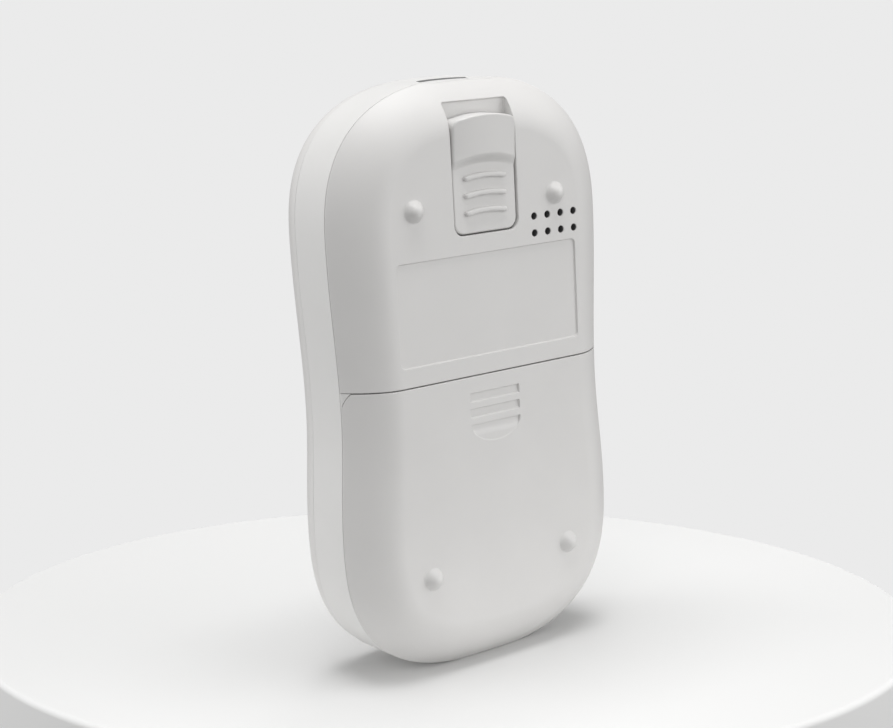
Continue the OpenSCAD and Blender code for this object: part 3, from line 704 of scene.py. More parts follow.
def dress(node, made):
    """Gives a carried-over node its material"""
    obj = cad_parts[node]
    obj.data.materials.clear()
    obj.data.materials.append(made)


@cache
def outline():
    return Outline()


# ---------------------------------------------------------------- rear shell pieces

NUB_X = 14.1
UPPER_NUB_Z = BODY_H - 19.6
LOWER_NUB_Z = 17.2
NUB_SHARES = np.array((0.08, 0.16, 0.25, 0.34, 0.43, 0.52, 0.61, 0.7, 0.8, 0.9, 1.0))
LAND_W = 1.5
LAND_H = 2.6
LAND_BEND = 1.3
LAND_TOP = DOOR_Z - 0.05
RECESS = (-6.42, 71.48, 6.42, 92.5, (0.5, 1.8))
RECESS_FLOOR = 8.0
FLOOR_UNDER = 7.0
LABEL = (-18.0, 52.1, 18.0, 68.5, 0.8)
STEM_SLOT = (-2.5, 76.5, 2.5, 83.5, 0.3)
SPEAKER_X = -13.8
SPEAKER_Z = 71.7
HOLE_PITCH = 2.76
HOLE_R = 0.6
HOLES = [(SPEAKER_X + (i - 1.5) * HOLE_PITCH, SPEAKER_Z + (j - 0.5) * HOLE_PITCH)
         for i in range(4) for j in range(2)]
GRIP_Z = 46.2
GRIP_HALF = 5.05
GRIP_PITCH = 2.6
RAIL_X = (13.55, 14.75)
HOOK_X = (12.55, 13.7)
RAIL_Y = 5.2
# The screw bosses that join the rear cover to the band: place, then radius and bore
BOSS_X = LOWER_HALF - 7.6
BOSS_Z = DOOR_Z - 2.8
BOSS = (2.1, 0.75)
BOSS_END_Y = REAR_PART_Y - DOOR_GAP
CARRIER_Y = -3.95
INNER_Y = REAR_Y - SHELL_WALL
LEAST_Y = REAR_PART_Y + 0.03


def nub_rise(x, z, at_z):
    """Two domes that run out into the shell"""
    rise = 0
    for side in (-1, 1):
        t = np.clip(np.hypot(x - side * NUB_X, z - at_z) / size("nub_foot"), 0, 1)
        rise = rise + size("nub_height") * (1 - t ** 2.6) ** 1.7
    return rise


def nub_lines(relief, at_z):
    for side in (-1, 1):
        relief.circles(side * NUB_X, at_z, size("nub_foot") * NUB_SHARES, 36)


def edge_drop(distance, depth):
    """Rounding of an edge that runs over the shoulder"""
    return round_off(distance, size("edge")) * (1.6 - 0.6 * rear_share(depth))


def clipped_ring(depth, z0, z1):
    """The right half of a ring between two heights, from high to low"""
    ring = outline().ring(depth, 800)
    half = ring[(ring[:, 0] > 0) & (np.arange(len(ring)) < len(ring) // 2 + 1)]
    z = half[:, 1]
    parts = [half[(z < z1 - 0.02) & (z > z0 + 0.02)]]
    if z1 < z.max():
        parts.insert(0, [[np.interp(-z1, -z, half[:, 0]), z1]])
    if z0 > z.min():
        parts.append([[np.interp(-z0, -z, half[:, 0]), z0]])
    return np.concatenate(parts)


def whole(right):
    """A border from its right half, which runs from high to low"""
    left = right[::-1] * [-1, 1]
    if abs(right[0][0]) < 1e-6:
        left = left[:-1]
    return np.concatenate([right, left])


def shell_border(z0):
    """The border of a shell from its top down to a height"""
    return whole(np.concatenate([[[0, BODY_H - SHELL_STEP]], clipped_ring(SHELL_STEP, z0, BODY_H + 1)]))


class METER_OT_rear_cover(bpy.types.Operator):
    """Upper part of the rear shell, with the slider recess, label recess and speaker holes"""
    bl_idname = "meter.rear_cover"
    bl_label = "Rear cover"

    def execute(self, context):
        edge = size("edge")
        foot = 0.25
        label_edge = 0.1
        hole_edge = 0.08
        floor_reach = 1.0
        border = shell_border(DOOR_Z)
        border[:, 1] -= np.where(border[:, 1] > BODY_H / 2, dish(border[:, 0], REAR_PART_Y), 0)
        holes = [circle_loop(x, z, HOLE_R, 28) for x, z in HOLES]
        relief = Relief(border, [*holes, rect_loop(*STEM_SLOT)], outline())
        relief.rings(rear_depths(), DOOR_Z - 1, BODY_H + 1)
        relief.rects(RECESS, pocket_grows(edge, foot))
        relief.rects(LABEL, pocket_grows(label_edge, label_edge))
        relief.rects(RECESS, (floor_reach, floor_reach + DRAFT))
        for x, z in HOLES:
            relief.circles(x, z, HOLE_R + hole_edge * EDGE_LINES, 28)
        relief.across(DOOR_Z + edge * EDGE_LINES)
        nub_lines(relief, UPPER_NUB_Z)

        def top(x, z, depth):
            face = rear_height(depth)
            y = pocket(rect_distance(x, z, *LABEL), face, face - size("label_depth"),
                       label_edge, label_edge)
            out = rect_distance(x, z, *RECESS)
            y = np.where(out < edge, pocket(out, face, RECESS_FLOOR, edge, foot), y)
            for hx, hz in HOLES:
                y = y - round_off(np.hypot(x - hx, z - hz) - HOLE_R, hole_edge)
            y = y + nub_rise(x, z, UPPER_NUB_Z)
            return np.maximum(y - edge_drop(z - DOOR_Z, depth), LEAST_Y)

        def under(x, z, depth):
            y = rear_under(depth)
            near = rect_distance(x, z, *RECESS) < floor_reach + 0.01
            return np.where(near, np.minimum(y, FLOOR_UNDER), y)

        solid = Solid()
        relief.build(solid, top, under)
        for x in (-BOSS_X, BOSS_X):
            solid.tube(x, BOSS_Z, *BOSS, BOSS_END_Y, BOSS_END_Y + 1.2)
            solid.box(x - BOSS[0], x + BOSS[0], BOSS_END_Y, INNER_Y, DOOR_Z + 0.4, DOOR_Z + 1.6)
        solid.piece("rear_shell", "housing", "shell_plastic", "rear_cover")
        # Painted shade: dark sleeves in the speaker holes darken their walls where shade falls
        hole_shade = Solid()
        for x, z in HOLES:
            hole_shade.tube(x, z, HOLE_R, HOLE_R - 0.04, INNER_Y + 0.05, REAR_Y - 0.2)
        hole_shade.piece("speaker_hole_lining", "housing", "dark_plastic", made=plastic("hole_lining"))
        return {"FINISHED"}


def land_height(z):
    """Height of the cut at the door's upper corners, where the door's corner is rounded"""
    t = np.clip((z - (DOOR_Z - LAND_H)) / LAND_H, 0, 1)
    return REAR_PART_Y + LAND_W * (1 - (1 - t ** LAND_BEND) ** (1 / LAND_BEND))


def depth_at_height(y):
    """The depth at which the rear shoulder has that height"""
    s = np.clip((y - REAR_PART_Y - REAR_LIP) / (REAR_Y - REAR_PART_Y - REAR_LIP), 0, 1)
    return SHELL_STEP + REAR_SHOULDER * (1 - np.sqrt(1 - s))


def corner_line(shift, z_top):
    """The cut at a door corner on the right side, from its top to its foot"""
    z = np.linspace(z_top, DOOR_Z - LAND_H + shift, 16)
    depth = depth_at_height(land_height(z - shift))
    ring = clipped_ring(0.0, DOOR_Z - 8, DOOR_Z + 2)
    x = np.interp(-z, -ring[:, 1], ring[:, 0])
    return np.stack([x - depth, z], 1)


class METER_OT_battery_door(bpy.types.Operator):
    """Sliding battery door with its thumb grip, nubs, rails and catch"""
    bl_idname = "meter.battery_door"
    bl_label = "Battery door"

    def execute(self, context):
        edge = size("edge")
        top_z = DOOR_Z - 0.18
        cut = corner_line(-DOOR_GAP, top_z)
        side = clipped_ring(SHELL_STEP, 0.0, DOOR_Z - LAND_H - DOOR_GAP)
        relief = Relief(whole(np.concatenate([cut[:-1], side])), [], outline())
        relief.rings(rear_depths(), -1, DOOR_Z + 1)
        relief.across(top_z - edge * EDGE_LINES)
        grip = ThumbGrip()
        grip.lines(relief)
        nub_lines(relief, LOWER_NUB_Z)

        def top(x, z, depth):
            y = rear_height(depth) - grip.drop(x, z) + nub_rise(x, z, LOWER_NUB_Z)
            return np.maximum(y - edge_drop(top_z - z, depth), LEAST_Y)

        def under(x, z, depth):
            y = rear_under(depth)
            near = (np.abs(x) < GRIP_HALF + 1) & (z > 36) & (z < GRIP_Z + 1)
            return np.where(near, np.minimum(y, INNER_Y - 0.05), y)

        solid = Solid()
        relief.build(solid, top, under)
        # The catch under the rear cover and its root, then a rail with two hooks on either side
        solid.box(-8, 8, INNER_Y - 1.0, INNER_Y - 0.3, DOOR_Z - 5, DOOR_Z + 2.2)
        solid.box(-8, 8, INNER_Y - 0.5, INNER_Y + 0.2, DOOR_Z - 5, top_z - 0.1)
        for mirror in (-1, 1):
            rail, hook = (sorted((mirror * x0, mirror * x1)) for x0, x1 in (RAIL_X, HOOK_X))
            solid.box(*rail, RAIL_Y, INNER_Y + 0.2, 14, 38)
            for z0 in (14, 30):
                solid.box(*hook, RAIL_Y, RAIL_Y + 1, z0, z0 + 8)
        solid.piece("door_shell", "door", "shell_plastic", "battery_door")
        return {"FINISHED"}


class ThumbGrip:
    """Two grooves and a half-moon scoop, each with a steep upper wall and a low ramp at its foot"""
    WALL = 0.16
    RAMP = 0.3
    ROW = 0.62
    ROW_SHARE = 0.35
    SCOOP = 3.4
    SCOOP_SHARE = 0.89

    def __init__(self):
        self.depth = size("grip_depth")
        self.rows = [(GRIP_Z - i * GRIP_PITCH, self.ROW * GRIP_PITCH) for i in range(2)]
        self.scoop_z = GRIP_Z - 2 * GRIP_PITCH

    def reach(self, x):
        """How far below its upper edge the scoop ends"""
        return self.SCOOP * np.sqrt(np.clip(1 - (x / (GRIP_HALF + 0.02)) ** 2, 0, 1))

    def sink(self, down, run):
        """Depth at a distance below an upper edge, for a floor that is level"""
        return self.depth * ease(down / self.WALL) * ease((run - down) / self.RAMP)

    def drop(self, x, z):
        total = np.zeros_like(x)
        for z0, run in self.rows:
            down = z0 - z
            floor = 1 - self.ROW_SHARE * np.clip((down - self.WALL) / (run - self.WALL), 0, 1)
            total = np.where((down > 0) & (down < run), self.sink(down, run) * floor, total)
        down = self.scoop_z - z
        reach = self.reach(x)
        floor = 1 - self.SCOOP_SHARE * ease((down - self.WALL) / (self.SCOOP / 2))
        total = np.where((down > 0) & (down < reach), self.sink(down, reach) * floor, total)
        return total * ease((GRIP_HALF - np.abs(x)) / self.WALL)

    def lines(self, relief):
        wall = [self.WALL * k / 6 for k in range(7)]
        ramp = [self.RAMP * k / 6 for k in range(7)]
        for z0, run in self.rows:
            relief.across([z0 - down for down in [*wall, run / 2, *(run - back for back in ramp)]],
                          GRIP_HALF)
        relief.across([self.scoop_z - down for down in [*wall, 0.5, 1.0, 1.6, 2.2]], GRIP_HALF)
        low_z = self.scoop_z - self.SCOOP - 0.2
        for inset in wall:
            for x in (inset - GRIP_HALF, GRIP_HALF - inset):
                relief.line([(x, low_z), (x, GRIP_Z)], closed=False)
        x = GRIP_HALF * np.sin(np.linspace(-math.pi / 2, math.pi / 2, 49))
        for back in ramp:
            keep = self.reach(x) > back + 0.2
            relief.line(np.stack([x, self.scoop_z - self.reach(x) + back], 1)[keep], closed=False)


# ---------------------------------------------------------------- band

class METER_OT_side_band(bpy.types.Operator):
    """Side band with its strip slot, the lands at the door's corners and two screw bosses"""
    bl_idname = "meter.side_band"
    bl_label = "Side band"

    def execute(self, context):
        solid = Solid()
        self.add_band(solid)
        for mirror in (-1, 1):
            self.add_land(solid, mirror)
            x = mirror * BOSS_X
            solid.tube(x, BOSS_Z, *BOSS, CARRIER_Y, BOSS_END_Y)
            solid.box(*sorted((x + mirror * 1.9, mirror * (WAIST_HALF - 1))), CARRIER_Y, BOSS_END_Y,
                      BOSS_Z - 0.8, BOSS_Z + 0.8)
        solid.piece("side_band", "housing", "band_plastic", "mid_band")
        self.add_slot_shade()
        return {"FINISHED"}

    @staticmethod
    def add_band(solid):
        """Rows run along the outline and columns across the band"""
        edge = 0.08
        groove = 0.1
        round_in = 0.12
        line = outline()
        count = len(line.dense)
        row_step = 13
        rows = set(range(0, count, row_step))
        for target in SLOT_HALF + edge * EDGE_STEPS:
            i = int(np.argmin(np.abs(line.dense[:count // 4, 0] - target)))
            rows.update((i, (count - i) % count))
        rows = sorted(rows)
        bend = [(round_in * (1 - math.cos(a)), round_in * (1 - math.sin(a)))
                for a in (k * math.pi / 12 for k in range(7))]
        ys, insets = np.array([
            (FRONT_PART_Y, GROOVE_DEPTH),
            *((FRONT_PART_Y + groove + across, inset) for across, inset in bend),
            *((y, 0) for y in (-3.15, -2.7, -2.1, -1.4, -0.6)),
            *((y, 0) for y in SLOT_Y - SLOT_T - edge * EDGE_STEPS[::-1]),
            *((y, 0) for y in SLOT_Y + SLOT_T + edge * EDGE_STEPS),
            *((y, 0) for y in (2.0, 2.8, 3.5, 4.05, 4.45)),
            *((REAR_PART_Y - groove - across, inset) for across, inset in reversed(bend)),
            (REAR_PART_Y, GROOVE_DEPTH)]).T
        pts = line.dense[rows]
        nrm = line.fine[rows]
        at_top = pts[:, 1] > BODY_H / 2
        along = np.abs(pts[:, 0]) - SLOT_HALF
        # How far each point lies outside the slot, whose edge is rounded by that
        away = np.maximum(np.where(at_top, along, 99)[:, None], np.abs(ys - SLOT_Y) - SLOT_T)
        in_slot = (away <= 1e-3).reshape(-1)
        depth = insets + round_off(away, edge)
        depth = depth + dish(pts[:, :1], ys) * at_top[:, None]
        pos = pts[:, None] + nrm[:, None] * depth[..., None]
        n_rows, n_cols = depth.shape
        grid = np.stack([pos[..., 0], np.broadcast_to(ys, depth.shape), np.maximum(pos[..., 1], 0)], 2)
        verts = [tuple(p) for p in grid.reshape(-1, 3)]
        faces = []
        rim = {}
        for i in range(n_rows):
            for j in range(n_cols - 1):
                a, b = i * n_cols + j, (i + 1) % n_rows * n_cols + j
                quad = (a, a + 1, b + 1, b)
                if not in_slot[list(quad)].all():
                    faces.append(quad)
                    continue
                for one, two in zip(quad, quad[1:] + quad[:1]):
                    if rim.pop((two, one), None) is None:
                        rim[one, two] = True
        # The inner face and the two end faces
        base = len(verts)
        inner = pts + nrm * BAND_WALL
        for y in (REAR_PART_Y, FRONT_PART_Y):
            verts.extend((x, y, z) for x, z in inner)
        for i in range(n_rows):
            k = (i + 1) % n_rows
            faces.append((base + i, base + n_rows + i, base + n_rows + k, base + k))
            faces.append((i * n_cols + n_cols - 1, base + i, base + k, k * n_cols + n_cols - 1))
            faces.append((base + n_rows + i, i * n_cols, k * n_cols, base + n_rows + k))
        # Walls of the slot, down to a floor that the guide's own opening continues
        floor_z = BODY_H - BAND_WALL - 0.2
        low_of = {}
        for one, two in rim:
            for v in (one, two):
                if v not in low_of:
                    low_of[v] = len(verts)
                    verts.append((*verts[v][:2], floor_z))
            faces.append((one, two, low_of[two], low_of[one]))
        solid.add_smooth(verts, faces)

    @staticmethod
    def add_slot_shade():
        """Painted shade: dark grey sheets on the long walls of the strip slot, just below its rim"""
        thick = 0.1
        low_z = BODY_H - 2.4
        solid = Solid()
        line = outline().dense
        upper = line[line[:, 1] > BODY_H / 2]
        upper = upper[np.argsort(upper[:, 0])]
        xs = np.linspace(0.02 - SLOT_HALF, SLOT_HALF - 0.02, 31)
        crest = np.interp(xs, upper[:, 0], upper[:, 1]) - 0.05
        for y0 in (SLOT_Y - SLOT_T, SLOT_Y + SLOT_T - thick):
            y1 = y0 + thick
            verts = [point for x, z in zip(xs, crest - dish(xs, y0)) for point in
                     ((x, y0, z), (x, y1, z), (x, y1, low_z), (x, y0, low_z))]
            faces = [(0, 1, 2, 3), tuple(len(verts) - 1 - k for k in range(4))]
            for i in range(len(xs) - 1):
                for k in range(4):
                    a, b = 4 * i + k, 4 * i + (k + 1) % 4
                    faces.append((b, a, a + 4, b + 4))
            solid.add_flat(verts, faces)
        solid.piece("slot_lining", "housing", "dark_plastic", made=plastic("slot_grey"))

    @staticmethod
    def add_land(solid, mirror):
        """The small land beside one of the door's rounded upper corners"""
        inner = corner_line(0.0, LAND_TOP)
        outer = clipped_ring(SHELL_STEP, DOOR_Z - LAND_H, LAND_TOP)[::-1]
        relief = Relief(np.concatenate([inner[:-1], outer]) * [mirror, 1], [], outline())
        relief.rings(rear_depths()[:9], DOOR_Z - LAND_H - 1, DOOR_Z + 1)
        relief.build(solid, lambda x, z, depth: rear_height(depth), level(REAR_PART_Y - 0.3))


# ---------------------------------------------------------------- front shell

LENS = (-21.0, 50.0, 21.0, 83.0, 3.0)
LENS_THICK = 1.1
WINDOW = (-18.0, 53.0, 18.0, 80.0, 1.0)
KEYS = {"main_button": (0.0, 33.0, 6.5), "up_button": (15.0, 34.0, 3.4),
        "down_button": (-15.0, 34.0, 3.4)}
KEY_GAP = 0.25
KEY_PROUD = 0.69
# Radius and bore of the screw pillars
CASE_PILLAR = (2.3, 0.95)
UPPER_PILLAR = (2.1, 0.75)
PILLAR_END_Y = -4.95


class METER_OT_front_cover(bpy.types.Operator):
    """Front shell with the seat of the display lens and the holes of the keys"""
    bl_idname = "meter.front_cover"
    bl_label = "Front cover"

    def execute(self, context):
        edge = 0.2
        foot = 0.15
        seat = -FRONT_Y - LENS_THICK
        holes = [(x, z, r + KEY_GAP) for x, z, r in KEYS.values()]
        relief = Relief(shell_border(0.0), [*(circle_loop(*hole, 64) for hole in holes),
                                            rect_loop(*WINDOW)], outline())
        relief.rings(front_depths(), -1, BODY_H + 1)
        relief.rects(LENS, pocket_grows(edge, foot))
        for x, z, r in holes:
            relief.circles(x, z, r + edge * EDGE_LINES, 64)

        def top(x, z, depth):
            face = front_height(depth)
            y = pocket(rect_distance(x, z, *LENS), face, seat, edge, foot)
            for hx, hz, r in holes:
                y = y - round_off(np.hypot(x - hx, z - hz) - r, edge)
            return y

        def under(x, z, depth):
            return np.minimum(front_under(depth), seat - 0.4)

        solid = Solid()
        relief.build(solid, top, under, side=-1)
        inner = FRONT_Y + SHELL_WALL - 0.1
        for mirror in (-1, 1):
            for z in (11, 41):
                solid.tube(mirror * 15.5, z, *CASE_PILLAR, inner, PILLAR_END_Y)
            solid.tube(mirror * 17.5, BODY_H - 9.6, *UPPER_PILLAR, inner, PILLAR_END_Y)
        solid.piece("front_shell", "housing", "shell_plastic", "front_cover")
        return {"FINISHED"}


def lens_material():
    """Polished lens: dark border, clear window"""
    shade = Shade("lens", Coat_Weight=0.4, Coat_Roughness=0.03)
    x, _, z = shade.axes()
    out_x = abs(x) - (WINDOW[2] + 0.4)
    out_z = abs(z - (LENS[1] + LENS[3]) / 2) - ((WINDOW[3] - WINDOW[1]) / 2 + 0.4)
    border = out_x.maths("MAXIMUM", out_x, out_z) > 0.0
    return shade.finish(
        shade.between(shade.noise(6.0), (0.012, 0.013, 0.015, 1), (0.018, 0.019, 0.022, 1)),
        0.05 + (shade.noise(0.8) - 0.5) * 0.03, Alpha=0.10 + border * 0.90)


def panel_material():
    """Liquid crystal glass: grey green with a faint grain"""
    shade = Shade("glass_panel")
    return shade.finish(
        shade.between(shade.noise(7.0), (0.27, 0.30, 0.25, 1), (0.31, 0.34, 0.285, 1)),
        0.22 + (shade.noise(0.05, 1.0) - 0.5) * 0.08)


class METER_OT_display(bpy.types.Operator):
    """Display lens, the glass behind it and the unlit segments of its figures"""
    bl_idname = "meter.display"
    bl_label = "Display"

    def execute(self, context):
        fit = 0.1
        edge = 0.15
        loop = (LENS[0] + fit, LENS[1] + fit, LENS[2] - fit, LENS[3] - fit, LENS[4])
        relief = Relief(rect_loop(*loop, 0.0, 12))
        relief.rects(loop, -edge * EDGE_LINES, 12)
        relief.rects(WINDOW, (0.4,))

        def top(x, z, depth):
            return -FRONT_Y - 0.1 - round_off(-rect_distance(x, z, *loop), edge)

        solid = Solid()
        relief.build(solid, top, level(-FRONT_Y - LENS_THICK), side=-1)
        solid.piece("lens_window", "housing", "lens", "display_lens", made=lens_material())
        dress("display_panel", panel_material())
        wear(display_segments(), "housing", "glass_panel")
        return {"FINISHED"}


# ---------------------------------------------------------------- geometry nodes

class Tree(Nodes):
    """A Geometry Nodes tree built from named inputs"""

    def __init__(self, name):
        super().__init__(bpy.data.node_groups.new(name, "GeometryNodeTree"))
        self.values = {}
        self.tree.interface.new_socket("Geometry", in_out="OUTPUT", socket_type="NodeSocketGeometry")
        self.start = self.tree.nodes.new("NodeGroupInput")

    def input(self, name, value, kind="Float"):
        socket = self.tree.interface.new_socket(name, in_out="INPUT", socket_type="NodeSocket" + kind)
        self.values[socket.identifier] = value
        return Value(self, next(s for s in self.start.outputs if s.identifier == socket.identifier))

    def vector(self, x, y, z):
        return self.node("ShaderNodeCombineXYZ", None, x, y, z)

    def repeated(self, thing, count, start, offset):
        """Instances of a thing along a straight row"""
        places = self.node("GeometryNodeMeshLine", {"mode": "OFFSET"}, Count=count,
                           Start_Location=start, Offset=offset)
        return self.node("GeometryNodeInstanceOnPoints", Points=places, Instance=thing)

    def piece(self, name, geometry, made):
        """Realizes the instances, sets the material and turns the result into a plain mesh"""
        real = self.node("GeometryNodeRealizeInstances", Geometry=geometry)
        painted = self.node("GeometryNodeSetMaterial", Geometry=real, Material=made)
        self.put(self.tree.nodes.new("NodeGroupOutput").inputs[0], painted)
        mesh = bpy.data.meshes.new(name)
        holder = placed(name, mesh)
        modifier = holder.modifiers.new("shape", "NODES")
        modifier.node_group = self.tree
        for identifier, value in self.values.items():
            modifier[identifier] = value
        evaluated = holder.evaluated_get(bpy.context.evaluated_depsgraph_get())
        plain = bpy.data.meshes.new_from_object(evaluated)
        holder.modifiers.clear()
        holder.data = plain
        plain.name = name
        bpy.data.meshes.remove(mesh)
        return holder


def segment_material():
    shade = Shade("display_segments")
    cloud = shade.noise(1.2)
    return shade.finish(shade.between(cloud, (0.192, 0.216, 0.178, 1), (0.196, 0.22, 0.181, 1)),
                        0.25 + cloud * 0.05)


def display_segments():
    """Three unlit figures of seven bars each, as instances of one bar"""
    tree = Tree("display_segments")
    bar_long = tree.input("Bar length", 6.2 * MM)
    bar_wide = tree.input("Bar width", 1.0 * MM)
    pitch = tree.input("Figure spacing", 11.0 * MM)
    bar_thick = tree.input("Bar thickness", 0.04 * MM)
    face_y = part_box("display_panel")[0].y - 0.02 * MM
    mid_z = 64.5 * MM
    bar = tree.node("GeometryNodeMeshCube", Size=tree.vector(bar_long, bar_thick, bar_wide), out="Mesh")
    half = (bar_long + bar_wide * 0.9) * 0.5
    join = tree.node("GeometryNodeJoinGeometry")
    for x_share, z_share in ((0, 0), (0, 2), (0, -2), (1, 1), (-1, 1), (1, -1), (-1, -1)):
        tree.put(join.socket.node.inputs[0], tree.node(
            "GeometryNodeTransform", Geometry=bar,
            Translation=tree.vector(half * x_share, 0.0, half * z_share),
            Rotation=(0, math.pi / 2 * abs(x_share), 0)))
    figures = tree.repeated(join, 3, tree.vector(pitch * -1.0, face_y, mid_z),
                            tree.vector(pitch, 0.0, 0.0))
    return tree.piece("figure_segments", figures, segment_material())


# ---------------------------------------------------------------- slider

SLIDER_HALF = 6.2
SLIDER_Z0 = 71.7
SLIDER_Z1 = 90.4
TONGUE_Y = 10.35
BLOCK_Y = 12.0
STEP_Z = 84.0
STEP_RUN = 1.4
STEP_EDGE = 0.3
BLOCK_FALL = 0.4
ARCH_R = 20.0
BLOCK_CROWN = 24.0
RIB_HALF = 4.2
RIB_PITCH = 2.75
RIB_DROP = 3.2


def arch(x):
    return np.sqrt(ARCH_R ** 2 - np.minimum(np.abs(x), ARCH_R) ** 2) - ARCH_R


def slider_border(grow=0.0):
    """Outline of the slider: round lower corners and an arched upper edge"""
    half = SLIDER_HALF + grow
    low_z = SLIDER_Z0 - grow
    top_z = SLIDER_Z1 + grow
    low_r = 1.8 + grow
    top_r = 1.5 + grow
    turn = [math.pi / 2 * i / 8 for i in range(9)]
    edge_z = top_z + arch(half - top_r)
    points = [(half - low_r + low_r * math.sin(a), low_z + low_r - low_r * math.cos(a)) for a in turn]
    points += [(half - top_r + top_r * math.cos(a), edge_z - top_r + top_r * math.sin(a)) for a in turn]
    points += [(x, top_z + arch(x)) for x in np.linspace(half - top_r, 0, 12)[1:]]
    right = np.array(points)
    return np.concatenate([right, right[-2::-1] * [-1, 1]])


class METER_OT_slider(bpy.types.Operator):
    """Ejector slider with its raised block, and the finger ribs on its tongue"""
    bl_idname = "meter.slider"
    bl_label = "Ejector slider"

    def execute(self, context):
        edge = 0.3
        loop = slider_border()
        following = np.roll(loop, -1, 0)
        relief = Relief(loop)
        for grow in -edge * EDGE_LINES:
            relief.line(slider_border(grow))
        xs = np.linspace(-7, 7, 57)
        steps = STEP_Z + np.linspace(-STEP_RUN, STEP_EDGE, 13)
        for z in (*steps, 85.2, 86.5, 87.8, 89.1):
            relief.line(np.stack([xs, z + arch(xs)], 1), closed=False)
        for x in np.linspace(-5, 5, 11):
            relief.line([(x, STEP_Z + 0.6 + arch(x)), (x, 91)], closed=False)

        def inside(x, z):
            """Distance inside the border"""
            best = np.full(len(x), 99.0)
            for (ax, az), (bx, bz) in zip(loop, following):
                dx, dz = bx - ax, bz - az
                t = np.clip(((x - ax) * dx + (z - az) * dz) / (dx * dx + dz * dz), 0, 1)
                best = np.minimum(best, np.hypot(x - ax - t * dx, z - az - t * dz))
            return best

        def top(x, z, depth):
            above = z - STEP_Z - arch(x)
            crown = BLOCK_Y - BLOCK_CROWN + np.sqrt(BLOCK_CROWN ** 2 - np.minimum(x * x, 100))
            crown = crown - BLOCK_FALL * np.clip((SLIDER_Z1 - z) / (SLIDER_Z1 - STEP_Z), 0, 1)
            y = TONGUE_Y + (crown - TONGUE_Y) * ease((above + STEP_RUN) / (STEP_RUN + STEP_EDGE))
            return y - round_off(inside(x, z), edge)

        solid = Solid()
        relief.build(solid, top, level(RECESS_FLOOR + 0.3))
        # The stem under the recess and its pin for the carriage
        solid.box(-2, 2, 6.7, RECESS_FLOOR + 0.4, 77, 81)
        solid.tube(0, 79, 1.0, 0.02, 5.5, 6.8)
        solid.piece("slider_body", "slider", "shell_plastic", "eject_slider")
        wear(finger_ribs(), "slider", "shell_plastic")
        return {"FINISHED"}


def finger_ribs():
    """Arched ribs: one swept bar, repeated down the tongue"""
    tree = Tree("finger_ribs")
    count = tree.input("Ribs", bpy.context.scene.meter_sizes.ribs, "Int")
    pitch = tree.input("Rib spacing", RIB_PITCH * MM)
    wide = tree.input("Rib width", size("rib_width") * MM)
    tall = tree.input("Rib height", size("rib_height") * MM)
    radius = tree.input("Arch radius", ARCH_R * MM)
    half = tree.input("Half length", RIB_HALF * MM)
    spread = tree.node("ShaderNodeMath", {"operation": "ARCSINE"}, half / radius)
    arc = tree.node("GeometryNodeCurveArc", {"mode": "RADIUS"}, Resolution=72, Radius=radius,
                    Start_Angle=math.pi / 2 - spread, Sweep_Angle=spread * 2.0)
    upright = tree.node("GeometryNodeTransform", Geometry=arc, Rotation=(math.pi / 2, 0, 0),
                        Translation=tree.vector(0.0, 0.0, radius * -1.0))
    along = tree.node("GeometryNodeSplineParameter", out="Factor")
    taper = tree.node("ShaderNodeMath", {"operation": "SQRT"},
                      1.0001 - abs(along * 2.0 - 1.0) ** 20.0)
    bar = tree.node("GeometryNodeCurvePrimitiveQuadrilateral", {"mode": "RECTANGLE"}, Width=wide,
                    Height=tall * 2.0)
    oval = tree.node("GeometryNodeFilletCurve", {"mode": "POLY"}, Curve=bar, Count=5, Radius=tall * 0.7)
    sweep = tree.node("GeometryNodeCurveToMesh", Curve=upright, Profile_Curve=oval, Scale=taper,
                      Fill_Caps=True)
    smooth = tree.node("GeometryNodeSetShadeSmooth", Geometry=sweep)
    rows = tree.repeated(smooth, count, (0, TONGUE_Y * MM, (STEP_Z - RIB_DROP) * MM),
                         tree.vector(0.0, 0.0, pitch * -1.0))
    return tree.piece("slider_ribs", rows, plastic("shell_plastic"))


# ---------------------------------------------------------------- keys

KEY_BODIES = {"main_button": ("main_key", "key_dark"), "up_button": ("up_key", "key_pale"),
              "down_button": ("down_key", "key_pale")}
ARROW_HALF = 1.15
ARROW_TALL = 1.9
ARROW_FOOT = -0.42 * ARROW_TALL
ARROW_SLANT = math.hypot(ARROW_HALF, ARROW_TALL)
MARK_RISE = 0.12
RING_R = 2.45


